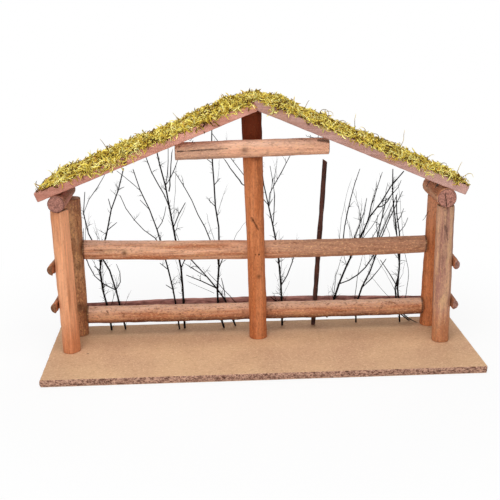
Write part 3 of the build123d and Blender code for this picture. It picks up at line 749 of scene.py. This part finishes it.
def peeled_log(node, axis, light, deep, patch, patchiness, knots=(), hewn=None, **finish):
    """One log of the frame with its own finish."""
    material = peeled_wood(node + "_finish", axis, light, deep, patch, patchiness, **finish)
    weathered_log(node, axis, material, "peeled_log", LOG_VOXEL, knots, hewn)


def on_front(node, share_x, share_z, share_y=0.0):
    """A point on the front of a node's box, or so far in, by shares of its width, height and depth."""
    low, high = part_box(node)
    shares = (share_x, share_y, share_z)
    return tuple(low[way] + (high[way] - low[way]) * share for way, share in enumerate(shares))


def rail_end_shadows(node):
    """Painted shadow at both ends of a rail, where it butts against its posts."""
    low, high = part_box(node)
    inset = 3.2 * MM
    blur = 1.6 * MM
    return [(ACROSS, low[0] + inset, -blur, GAP_SHADOW), (ACROSS, high[0] - inset, blur, GAP_SHADOW)]


def topside(node, depth, colour):
    """Another tone along the highest part of a log; on the level logs it is a painted highlight."""
    return (UP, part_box(node)[1][2] - depth, 0.7 * depth, colour)


def shaded_underside(node, depth, colour):
    """Painted shade along the lowest part of a log that lies level."""
    return (UP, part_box(node)[0][2] + depth, -0.7 * depth, colour)


def front_foot(colour):
    """Another tone at the foot of a front post."""
    return (UP, 60 * MM, -40 * MM, colour)


def build_front_posts():
    """The left front post with its hewn face, and the right one with its grey streaks."""
    hewn = ((math.sin(HEWN_TURN), -math.cos(HEWN_TURN), 0.0), HEWN_DISTANCE)
    foot = front_foot(srgb(206, 130, 88))
    node = "post_front_left"
    peeled_log(node, UP, SALMON, srgb(206, 138, 98), TAN, 0.2, hewn=hewn, flecking=0.4, tints=[foot])
    node = "post_front_right"
    left, front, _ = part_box(node)[0]
    middle = left + 7.6 * MM

    def streak(top_across, top, foot_across, foot, reach, strength):
        """A streak down the front of the post, in mm."""
        start = (middle + top_across * MM, front, top * MM)
        return (start, (middle + foot_across * MM, front, foot * MM), reach * MM, strength)

    streaks = [
        streak(0.5, 186, 0, 150, 3.6, 0.7),
        streak(0, 154, -4.5, 138, 2.4, 0.75),
        streak(0, 154, 4.5, 138, 2.4, 0.75),
        streak(0, 150, -1.5, 100, 6.5, 0.5),
    ]
    tones = (srgb(218, 170, 136), srgb(170, 122, 106), srgb(232, 192, 142))
    foot = front_foot(srgb(192, 124, 82))
    peeled_log(node, UP, *tones, 0.8, flecking=0.7, tints=[foot], broken=streaks)


def build_back_posts():
    """The two back posts, with knots on the left one."""
    node = "post_back_left"
    knots = [(on_front(node, 0.7, 0.22), 7 * MM), (on_front(node, 0.8, 0.52), 6 * MM)]
    foot = (UP, 110 * MM, -50 * MM, srgb(196, 134, 96))
    top = topside(node, 24 * MM, srgb(176, 124, 96))
    tones = (srgb(228, 178, 132), srgb(188, 130, 92), TAN)
    peeled_log(node, UP, *tones, 0.6, knots, flecking=1.4, tints=[foot, top])
    top = (UP, 110 * MM, 60 * MM, srgb(222, 160, 124))
    peeled_log("post_back_right", UP, CLAY, ORANGE, RUST, 0.3, flecking=1.1, tints=[top])


def build_centre_post():
    """The centre post, with the points of its staple, a scratch, two knots and painted shade over its top,
    under the roof.
    """
    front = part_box("centre_post")[0][1]
    rail_low, rail_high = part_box("upper_rail")
    crossing_z = (rail_low[2] + rail_high[2]) / 2

    def on_post(across, up, back=1.3):
        """A point on the post's face, in mm from the staple."""
        return (STAPLE_X + across * MM, front + back * MM, crossing_z + up * MM)

    staple = [(on_post(across, 0), on_post(across, 0), 1.7 * MM, 0.95) for across in (-2.2, 2.2)]
    scratch = (on_post(-6, 45, 2.5), on_post(2, 30, 0.5), 1.3 * MM, 0.6)
    knots = [(on_post(2, -27), 3.5 * MM), (on_post(-5, 42), 2.6 * MM)]
    # Painted shade over the top of the post under the roof; the second coat lies over the flecks as well
    shade = (UP, 226 * MM, 16 * MM, srgb(112, 42, 12))
    soak = (UP, 228 * MM, 14 * MM, srgb(104, 40, 12))
    peeled_log(
        "centre_post", UP, CLAY, ORANGE, RUST, 0.35, knots,
        flecking=0.9, marks=[*staple, scratch], tints=[shade], soaked=[soak],
    )


def build_eave_logs():
    """The short logs under the eaves, the right one with a crack in its cut end."""
    peeled_log("eave_log_left", BACK, ROSEWOOD, BROWN, srgb(188, 130, 114), 0.6)
    low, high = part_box("eave_log_right")
    x = high[0] - 12.0 * MM
    z = low[2] + 11.5 * MM
    top = (x - 3.0 * MM, low[1], z + 6.0 * MM)
    foot = (x - 1.0 * MM, low[1], z - 9.0 * MM)
    peeled_log("eave_log_right", BACK, TAN, RUST, ROSEWOOD, 0.6, marks=[(top, foot, 0.8 * MM, 0.7)])


def build_collar_beam():
    """The collar beam, with a painted highlight along its top, painted shade along its underside, a long
    crack and a dark line across the top of its right end.
    """
    node = "collar_beam"
    crack = (on_front(node, 0.02, 0.50), on_front(node, 0.34, 0.60), 1.0 * MM, 0.85)
    right_end_dark_line = (on_front(node, 0.93, 0.93, 0.2), on_front(node, 1.0, 0.86, 0.14), 2.6 * MM, 0.75)
    left_end = (ACROSS, -30 * MM, -30 * MM, srgb(206, 160, 134))
    # Painted shade along the underside and a painted highlight along the top; the greyer left end is the
    # wood's own tone
    peeled_log(
        node, ACROSS, ROSE, srgb(228, 168, 136), GREY, 0.4, [(on_front(node, 0.45, 0.5), 5 * MM)],
        flecking=1.1, marks=[crack, right_end_dark_line],
        tints=[left_end, shaded_underside(node, 6 * MM, GREY), topside(node, 8 * MM, TOP_HIGHLIGHT)],
    )


def build_rails():
    """The two back rails and the four side rails."""
    node = "upper_rail"
    knots = [(on_front(node, 0.03, 0.24), 4 * MM), (on_front(node, 0.12, 0.5), 4 * MM)]
    line = (on_front(node, 0.035, 0.66), on_front(node, 0.10, 0.67), 1.3 * MM, 1.0)
    right_half = (ACROSS, 0.0, 60 * MM, srgb(180, 132, 104))
    # Tints: a painted highlight along the top, the darker right half, and painted shadow at both ends
    tints = [topside(node, 6 * MM, TOP_HIGHLIGHT), right_half, *rail_end_shadows(node)]
    peeled_log(node, ACROSS, PALE, RUST, OCHRE, 0.5, knots, broken=[line], tints=tints)
    node = "lower_rail"
    nick = (on_front(node, 0.06, 0.80, 0.1), on_front(node, 0.064, 0.74, 0.05), 1.2 * MM, 0.7)
    # Tints: a painted highlight along the top, painted shade along the underside, and painted shadow at both
    # ends
    top = topside(node, 8 * MM, srgb(226, 184, 158))
    tints = [top, shaded_underside(node, 10.5 * MM, UMBER), *rail_end_shadows(node)]
    peeled_log(node, ACROSS, srgb(212, 158, 126), RUST, OCHRE, 0.5, flecking=1.5, marks=[nick], tints=tints)
    for side, patch in (("left", BROWN), ("right", MAUVE)):
        for level in ("upper", "lower"):
            peeled_log(f"side_rail_{side}_{level}", BACK, RUST, BROWN, patch, 0.5)


def build_barked_sticks():
    """The batten behind the hedge and the stick in it, which kept their bark."""
    batten = bark("batten_bark", ACROSS, srgb(186, 134, 124), srgb(110, 70, 63))
    weathered_log("rear_batten", ACROSS, batten, "bark", BATTEN_VOXEL)
    stick = bark("stick_bark", UP, srgb(92, 54, 42), srgb(46, 25, 20))
    weathered_log("bark_stick", UP, stick, "bark", STICK_VOXEL, flute_depth=STICK_FLUTE_DEPTH)


def build_boards():
    """The roof boards and the base board, with the softened edges and roughness of cheap sawn stock."""
    tones = {
        "left": (srgb(220, 160, 142), srgb(194, 132, 114), srgb(180, 120, 96), srgb(176, 116, 98)),
        "right": (srgb(196, 154, 142), srgb(170, 126, 116), srgb(176, 128, 104), srgb(210, 166, 154)),
    }
    for number, (side, board_tones) in enumerate(tones.items()):
        node = f"roof_board_{side}"
        piece = cad_copy(node, node + "_wood")
        remesh(piece, ROOF_VOXEL)
        places, normals = read_points(piece.data)
        write_points(piece.data, places + normals * bumps(places, ROOF_BUMPS)[:, None])
        # The outer end: the lowest x on the left, the highest on the right
        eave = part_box(node)[number][0]
        dress(piece, sawn_wood(node + "_finish", *board_tones, eave), "sawn_board", node)
    piece = cad_copy("base_board", "base_board_panel")
    remesh(piece, BASE_VOXEL)
    places, normals = read_points(piece.data)
    rim = 1 - np.abs(normals[:, 2])
    write_points(piece.data, places + normals * (bumps(places, BASE_RIM_BUMPS) * rim)[:, None])
    write_attribute(piece.data, "rim", rim)
    dress(piece, fibreboard(), "fibreboard", "base_board")


def tapered_tube(path, girths):
    """Corners and faces of a thin tube along a path, closed at its foot and pointed at its tip."""
    corners = []
    faces = []
    sides = range(TUBE_SIDES)
    for step, (point, girth) in enumerate(zip(path[:-1], girths)):
        ahead = (Vector(path[step + 1]) - Vector(point)).normalized()
        across = ahead.orthogonal().normalized()
        third = ahead.cross(across)
        for side in sides:
            angle = 2 * math.pi * side / TUBE_SIDES
            corners.append(Vector(point) + (across * math.cos(angle) + third * math.sin(angle)) * girth)
    corners.append(Vector(path[-1]))
    last = len(path) - 2
    for step in range(last):
        for side in sides:
            following = (side + 1) % TUBE_SIDES
            first, second = step * TUBE_SIDES, (step + 1) * TUBE_SIDES
            faces.append((first + side, first + following, second + following, second + side))
    for side in sides:
        following = (side + 1) % TUBE_SIDES
        faces.append((last * TUBE_SIDES + side, last * TUBE_SIDES + following, len(corners) - 1))
    faces.append(tuple(reversed(sides)))
    return corners, faces


def tube_mesh(name, tubes, taper):
    """A mesh of thin tubes, each a path, a girth and its foot's nearness to a tip, stored at every corner."""
    corners = []
    faces = []
    tips = []
    for path, girth, foot in tubes:
        steps = len(path) - 1
        girths = [girth * (1 - taper * step / steps) for step in range(steps)]
        tube_corners, tube_faces = tapered_tube(path, girths)
        base = len(corners)
        corners.extend(tube_corners)
        faces.extend(tuple(base + corner for corner in face) for face in tube_faces)
        for number in range(len(tube_corners)):
            tips.append(foot + (1 - foot) * min(number // TUBE_SIDES, steps) / steps)
    mesh = new_mesh(name, corners, faces)
    write_attribute(mesh, "tip", np.array(tips))
    return mesh


def curl(start, heading, length, bends):
    """A path that turns a little at each step."""
    path = [Vector(start)]
    heading = Vector(heading).normalized()
    for bend in bends:
        heading = (heading + Vector(bend)).normalized()
        path.append(path[-1] + heading * (length / len(bends)))
    return path


def shoot_tubes(draws, length, girth, bend=0.22, side_shoots=2):
    """A shoot of a twig: one stem with side shoots."""
    stem = curl((0, 0, -0.08 * length), (0, 0, 1), length, draws.normal(0, bend, (5, 3)))
    tubes = [(stem, girth, 0.0)]
    for number in range(side_shoots):
        angle = draws.uniform(0, 2 * math.pi)
        heading = (math.cos(angle), math.sin(angle), draws.uniform(0.2, 1.0))
        side_length = length * draws.uniform(0.3, 0.55)
        path = curl(stem[1 + number], heading, side_length, draws.normal(0, bend, (3, 3)))
        tubes.append((path, girth * 0.75, 0.3))
    return tubes


def wand_tubes(draws, length, girth, bend=0.07, side_bend=0.1):
    """A long fine shoot, almost straight, with two short ones on it."""
    wand = curl((0, 0, 0), (0, 0, 1), length, draws.normal(0, bend, (8, 3)))
    tubes = [(wand, girth, 0.0)]
    for step in (3, 5):
        angle = draws.uniform(0, 2 * math.pi)
        heading = (math.cos(angle), 0.3 * math.sin(angle), 1.3)
        path = curl(wand[step], heading, 0.25 * length, draws.normal(0, side_bend, (3, 3)))
        tubes.append((path, girth * 0.6, 0.3))
    return tubes


def strand_tubes(draws, length, girth, turn=0.55, turn_back=0.22, steps=7):
    """A strand of moss: it lies flat and curls one way and then the other."""
    angle = 0.0
    way = draws.choice((-1, 1))
    path = [Vector((0, 0, 0))]
    for _ in range(steps):
        angle += way * turn * draws.uniform(0.3, 1.7)
        if draws.random() < turn_back:
            way = -way
        heading = Vector((math.cos(angle), math.sin(angle), draws.uniform(-0.3, 0.5)))
        path.append(path[-1] + heading * (length / steps))
    middle = path[steps // 2].copy()
    return [([point - middle for point in path], girth, 0.25)]


class Scatter(Graph):
    """A Geometry Nodes tree that strews small shapes over a surface."""

    def __init__(self, name, shapes, material, slot, upward, tilt, lean, least, roof_margin=None):
        """Shapes stand upward or lie on the surface, where its normal rises more than least."""
        super().__init__(bpy.data.node_groups.new(name, "GeometryNodeTree"))
        self.material = material
        self.slot = slot
        add_socket = self.tree.interface.new_socket
        add_socket("Geometry", in_out="OUTPUT", socket_type="NodeSocketGeometry")
        add_socket("Geometry", in_out="INPUT", socket_type="NodeSocketGeometry")
        self.inputs = {}
        for label in ("Density", "Size", "Reach", "Seed"):
            kind = "NodeSocketInt" if label == "Seed" else "NodeSocketFloat"
            self.inputs[label] = add_socket(label, in_out="INPUT", socket_type=kind).identifier
        start = self.tree.nodes.new("NodeGroupInput")
        surface, density, size, reach, self.seed = [Field(self, start.outputs[number]) for number in range(5)]
        position = self.node("GeometryNodeInputPosition")
        away = (self.along(ACROSS, position) - RIDGE_X).absolute()
        where = (self.along(UP, self.node("GeometryNodeInputNormal")) > least) * (away < reach)
        if roof_margin is not None:
            roof_limit = (APEX_Z - roof_margin) - away * math.tan(PITCHES["right"])
            where = where * (self.along(UP, position) < roof_limit)
        sockets = {"Mesh": surface, "Selection": where, "Density": density, "Seed": self.seed}
        spread = self.node("GeometryNodeDistributePointsOnFaces", sockets, distribute_method="RANDOM")
        kinds = []
        for shape in shapes:
            sockets = {"Object": shape}
            kind = self.node("GeometryNodeObjectInfo", sockets, "Geometry", transform_space="ORIGINAL")
            kinds.append(self.node("GeometryNodeGeometryToInstance", {0: kind}))
        tilts = self.random("FLOAT_VECTOR", (-lean, -tilt, 0.0), (lean, tilt, 0.0), 1)
        spins = self.random("FLOAT_VECTOR", (0.0, 0.0, 0.0), (0.0, 0.0, 2 * math.pi), 2)
        turned = self.node("FunctionNodeEulerToRotation", {0: tilts})
        spun = self.node("FunctionNodeEulerToRotation", {0: spins})
        rotation = turned
        if not upward:
            facing = Field(self, self.pick(spread.socket.node.outputs, "Rotation"))
            rotation = self.turn(self.turn(facing, spun), turned)
        sockets = {
            "Points": spread,
            "Instance": self.node("GeometryNodeJoinGeometry", {0: kinds}),
            "Pick Instance": True,
            "Instance Index": self.random("INT", 0, len(shapes) - 1, 4),
            "Rotation": self.turn(rotation, spun),
            "Scale": size * (0.55 + self.random("FLOAT", 0.0, 1.0, 3) ** 2.0 * 0.75),
        }
        strewn = self.node("GeometryNodeInstanceOnPoints", sockets)
        sockets = {"Geometry": strewn, "Name": "tone", "Value": self.random("FLOAT", 0.0, 1.0, 5)}
        settings = {"data_type": "FLOAT", "domain": "INSTANCE"}
        strewn = self.node("GeometryNodeStoreNamedAttribute", sockets, **settings)
        strewn = self.node("GeometryNodeRealizeInstances", {0: strewn})
        strewn = self.node("GeometryNodeSetMaterial", {"Geometry": strewn, "Material": material})
        self.join(self.tree.nodes.new("NodeGroupOutput"), {0: strewn})

    def random(self, kind, least, most, number):
        """A random value for each point, its own for each number."""
        sockets = {"Min": least, "Max": most, "Seed": self.seed + number * 17}
        return self.node("FunctionNodeRandomValue", sockets, "Value", data_type=kind)

    def turn(self, rotation, by):
        sockets = {"Rotation": rotation, "Rotate By": by}
        return self.node("FunctionNodeRotateRotation", sockets, rotation_space="LOCAL")

    def strew(self, surface, density, size, seed, reach=1.0):
        """Replaces a surface by a piece strewn over it, as far as the reach on each side of the ridge."""
        modifier = surface.modifiers.new("strewn", "NODES")
        modifier.node_group = self.tree
        for label, value in (("Density", density), ("Size", size), ("Reach", reach), ("Seed", seed)):
            modifier[self.inputs[label]] = value
        settle(surface)
        dress(surface, self.material, self.slot)


def kinds_to_strew(name, count, seed, tubes, taper, length, girth):
    """A few different shapes of one sort, to strew."""
    draws = np.random.default_rng(seed)
    kinds = []
    for number in range(count):
        kind = f"{name}_{number}"
        kinds.append(new_object(kind, tube_mesh(kind, tubes(draws, length, girth), taper)))
    return kinds


def on_slope(side, distance, lift):
    """Across and up, for a point so far down a roof slope from the ridge and so far above its underside."""
    pitch = PITCHES[side]
    x = RIDGE_X + OUTWARD[side] * (distance * math.cos(pitch) + lift * math.sin(pitch))
    z = APEX_Z - distance * math.sin(pitch) + lift * math.cos(pitch)
    return x, z


def mat_end(side):
    """How far the moss mat goes from the ridge, measured level."""
    low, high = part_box(f"moss_{side}")
    return max(abs(low[0] - RIDGE_X), abs(high[0] - RIDGE_X))


def moss_reach(side):
    """How far from the ridge the strands are rooted, measured level."""
    return mat_end(side) - END_MARGIN - END_PULLS[side]


def moss_length(side):
    """How far from the ridge the strands are rooted, measured down the slope."""
    return moss_reach(side) / math.cos(PITCHES[side])


def mat_lift(side, away):
    """How far the mat rises or sinks at each distance from the ridge: a round mound and thin ends."""
    shoulders = swell(away - SHOULDER_PLACE, SHOULDER_HEIGHT, SHOULDER_WIDTH)
    dip = swell(away, RIDGE_DIP, RIDGE_DIP_WIDTH)
    ends = swell(mat_end(side) - away, END_TAPERS[side], END_TAPER_WIDTH)
    return shoulders - dip - ends - MAT_SINK


def fringe_strip(side, name):
    """A strip along a roof board's top front edge, as deep as the moss hangs over it."""
    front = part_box(f"roof_board_{side}")[0][1]
    place_shares, drop_shares = np.array(FRINGE_PERCENTS[side]).T / 100
    corners = []
    faces = []
    for step in range(FRINGE_STEPS + 1):
        drop = BOARD_THICKNESS * float(np.interp(step / FRINGE_STEPS, place_shares, drop_shares))
        rows = (
            (BOARD_THICKNESS + 5.5 * MM, -3.5 * MM),
            (BOARD_THICKNESS + 1.5 * MM, 0.6 * MM),
            (BOARD_THICKNESS - drop, 0.3 * MM),
        )
        for lift, forward in rows:
            x, z = on_slope(side, moss_length(side) * step / FRINGE_STEPS, lift)
            corners.append((x, front - forward, z))
    for step in range(FRINGE_STEPS):
        for row in range(2):
            first = 3 * step + row
            face = (first, first + 1, first + 4, first + 3)
            faces.append(face if side == "right" else tuple(reversed(face)))
    return new_object(name, new_mesh(name, corners, faces))


def ridge_strip(name):
    """A strip over the ridge, where the moss of the two boards meets."""
    low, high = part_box("moss_left")
    lift = RIDGE_STRIP_LIFT
    across = [
        on_slope("left", RIDGE_STRIP_HALF_WIDTH, lift),
        on_slope("left", 0.0, lift),
        on_slope("right", RIDGE_STRIP_HALF_WIDTH, lift),
    ]
    ends = (low[1] + RIDGE_STRIP_INSET, high[1] - RIDGE_STRIP_INSET)
    corners = [(x, y, z) for y in ends for x, z in across]
    return new_object(name, new_mesh(name, corners, [(0, 1, 4, 3), (1, 2, 5, 4)]))


def stray_hairs(green):
    """Longer strands that stand out of the moss here and there, some straight and some curled over."""
    draws = np.random.default_rng(31)
    steps = 9
    tubes = []
    rows = [(side, *row) for side, side_rows in STRAY_HAIRS.items() for row in side_rows]
    for side, share, length, lean, turn in rows:
        distance = moss_length(side) * share
        rise = mat_lift(side, distance * math.cos(PITCHES[side]))
        x, z = on_slope(side, distance, BOARD_THICKNESS + HAIR_ROOT_LIFT + rise)
        path = [Vector((x, draws.uniform(-8, 14) * MM, z))]
        angle = math.atan(lean)
        for _ in range(steps):
            way = Vector((math.sin(angle), draws.normal(0, 0.2), math.cos(angle)))
            path.append(path[-1] + way * (length * MM / steps))
            angle += turn + draws.normal(0, 0.12)
        tubes.append((path, HAIR_GIRTH, 0.0))
    mesh = tube_mesh("moss_stray_hairs", tubes, 0.55)
    corners = steps * TUBE_SIDES + 1
    tones = [0.02 + 0.4 * (number % 3) / 2 for number in range(len(tubes)) for _ in range(corners)]
    write_attribute(mesh, "tone", np.array(tones))
    dress(new_object("moss_stray_hairs", mesh), green, "moss")


def build_moss():
    """The moss on both boards: a lumpy mat, thick with curling strands, and a fringe over the front edge."""
    green = moss_green()
    bed = moss_bed()
    strands = kinds_to_strew("moss_strand", 9, 11, strand_tubes, 0.35, STRAND_LENGTH, STRAND_GIRTH)
    carpet = Scatter("moss_carpet", strands, green, "moss", False, 0.6, 0.6, -0.25)
    fringe = Scatter("moss_fringe", strands, green, "moss", False, 0.45, 0.45, -2.0)
    for number, side in enumerate(("left", "right")):
        mat = cad_copy(f"moss_{side}", f"moss_{side}_mat")
        remesh(mat, MAT_VOXEL)
        places, normals = read_points(mat.data)
        lumps = bumps(places, MAT_BUMPS)
        away = np.abs(places[:, 0] - RIDGE_X)
        upper = np.clip(normals[:, 2] + 0.3, 0, 1)
        places = places + normals * ((lumps + mat_lift(side, away)) * upper)[:, None]
        near_end = np.clip((away - mat_end(side)) / END_PULL_WIDTH + 1, 0, 1)
        places[:, 0] -= OUTWARD[side] * END_PULLS[side] * near_end
        write_points(mat.data, places)
        for layer, (density, size, beyond) in enumerate(MOSS_LAYERS):
            strand_layer = new_object(f"moss_{side}_strands_{layer + 1}", mat.data.copy())
            carpet.strew(strand_layer, density, size, 20 + number * 10 + layer, moss_reach(side) + beyond)
        edge = fringe_strip(side, f"moss_{side}_fringe")
        fringe.strew(edge, FRINGE_DENSITY, FRINGE_SIZES[side], 60 + number)
        dress(mat, bed, "moss", f"moss_{side}")
    carpet.strew(ridge_strip("moss_ridge_strands"), RIDGE_STRIP_DENSITY, RIDGE_STRIP_SIZE, 80)
    stray_hairs(green)
    for strand in strands:
        bpy.data.objects.remove(strand)


def build_hedge():
    """The twigs, thickened a little by their rough bark, with fine side shoots strewn along them."""
    dark = twig_bark()
    stems = bmesh.new()
    for node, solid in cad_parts.items():
        if node.startswith("hedge_twig"):
            stems.from_mesh(solid.data)
            piece = cad_copy(node, node + "_bark")
            places, normals = read_points(piece.data)
            bark_depth = TWIG_BARK + bumps(places, TWIG_BUMPS)
            write_points(piece.data, places + normals * bark_depth[:, None])
            dress(piece, dark, "twig", node)
    mesh = bpy.data.meshes.new("hedge_stems")
    stems.to_mesh(mesh)
    stems.free()
    # Each sort's name, shape, length, girth, tilt, distance from the roof, and number in a square metre
    sorts = (
        ("hedge_shoots", shoot_tubes, 13 * MM, 0.38 * MM, 0.95, 17 * MM, 30000.0),
        ("hedge_wands", wand_tubes, 48 * MM, 0.42 * MM, 0.28, 66 * MM, 5200.0),
    )
    for name, tubes, length, girth, tilt, roof_margin, density in sorts:
        shoots = new_object(name, mesh.copy())
        kinds = kinds_to_strew(name + "_kind", 5, 5, tubes, 0.75, length, girth)
        hedge = Scatter(name, kinds, dark, "twig", True, tilt, 0.22 * tilt, -2.0, roof_margin)
        hedge.strew(shoots, density, 1.0, 3)
        for kind in kinds:
            bpy.data.objects.remove(kind)
    long_shoots(dark)
    collar_litter(dark)


def bowed_shoot(draws, girth, foot, bend, tip):
    """A shoot that bows from its foot through its bend to its tip, not quite evenly."""
    steps = 8
    pull = 2 * bend - (foot + tip) / 2
    path = []
    for step in range(steps + 1):
        share = step / steps
        place = foot * (1 - share) ** 2 + pull * (2 * share * (1 - share)) + tip * share**2
        path.append(place + Vector((draws.normal(0, 0.35) * MM, 0.0, 0.0)))
    return (path, girth, 0.0)


def long_shoots(dark):
    """The hedge's long shoots, between the rails and the rear batten, and the loose ends beside it."""
    draws = np.random.default_rng(41)
    hedge_y = (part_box("lower_rail")[1][1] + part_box("rear_batten")[0][1]) / 2
    tubes = []
    for girth, *places in LONG_SHOOTS:
        y = hedge_y + draws.uniform(0.0, 1.5) * MM
        tubes.append(bowed_shoot(draws, girth, *[Vector((x * MM, y, z * MM)) for x, z in places]))
    for girth, *places in LOOSE_ENDS:
        tubes.append(bowed_shoot(draws, girth, *[Vector(place) * MM for place in places]))
    dress(new_object("hedge_long_shoots", tube_mesh("hedge_long_shoots", tubes, 0.45)), dark, "twig")


def collar_litter(dark):
    """Small dark curls of bark and twig that lie on the collar beam, near its ends."""
    draws = np.random.default_rng(53)
    tubes = []
    for share in LITTER_SHARES:
        start = on_front("collar_beam", share, 1.0, draws.uniform(0.25, 0.55))
        heading = (draws.normal(), 0.0, 0.7)
        tubes.append((curl(start, heading, LITTER_LENGTH, draws.normal(0, 0.5, (6, 3))), LITTER_GIRTH, 0.0))
    dress(new_object("collar_litter", tube_mesh("collar_litter", tubes, 0.5)), dark, "twig")


def finish_fasteners():
    """Dull steel for all nails, pins and staples."""
    steel = wire_steel()
    for node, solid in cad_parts.items():
        if node.endswith(("_nails", "_pins")) or node == "staples":
            solid.material_slots[0].material = steel


def white_floor():
    """A white floor that takes a faint shadow near the stable, and is plain white further off."""
    material = bpy.data.materials.new("white_floor")
    material.use_nodes = True
    graph = Graph(material.node_tree)
    graph.tree.nodes.clear()
    place = graph.node("ShaderNodeTexCoord", output="Object")
    away = graph.vector("LENGTH", {0: place}, "Value")
    seen = graph.rays("Camera", "Glossy") * (0.86 + away.fade(0.28, 0.55) * 0.14)
    paper = graph.node("ShaderNodeBsdfDiffuse", {"Color": PAPER})
    glow = graph.node("ShaderNodeEmission", {"Color": WHITE, "Strength": 1.0})
    both = graph.node("ShaderNodeMixShader", {0: seen, 1: paper, 2: glow})
    graph.join(graph.tree.nodes.new("ShaderNodeOutputMaterial"), {"Surface": both})
    ways = ((-1, -1), (1, -1), (1, 1), (-1, 1))
    corners = [(x * FLOOR_REACH, y * FLOOR_REACH, FLOOR_LEVEL) for x, y in ways]
    mesh = new_mesh("floor", corners, [(0, 1, 2, 3)])
    mesh.materials.append(material)
    new_object("floor", mesh)


def studio_light():
    """A wide soft light overhead, fills from the front and the back, and a white room."""
    world = bpy.data.worlds.new("white_room")
    world.use_nodes = True
    bpy.context.scene.world = world
    graph = Graph(world.node_tree)
    graph.tree.nodes.clear()
    strength = ROOM_LIGHT + graph.rays("Camera", "Glossy", "Transmission") * (1 - ROOM_LIGHT)
    backdrop = graph.node("ShaderNodeBackground", {"Color": WHITE, "Strength": strength})
    graph.join(graph.tree.nodes.new("ShaderNodeOutputWorld"), {"Surface": backdrop})
    for name, place, size, power in LAMPS:
        data = bpy.data.lights.new(name, "AREA")
        data.size = size
        data.energy = power
        lamp = new_object(name, data)
        lamp.location = place
        lamp.rotation_euler = (LIGHT_AIM - Vector(place)).to_track_quat("-Z", "Y").to_euler()


bpy.context.scene.view_settings.view_transform = "Standard"
add_camera()
build_front_posts()
build_back_posts()
build_centre_post()
build_eave_logs()
build_collar_beam()
build_rails()
build_barked_sticks()
build_boards()
build_hedge()
build_moss()
finish_fasteners()
white_floor()
studio_light()
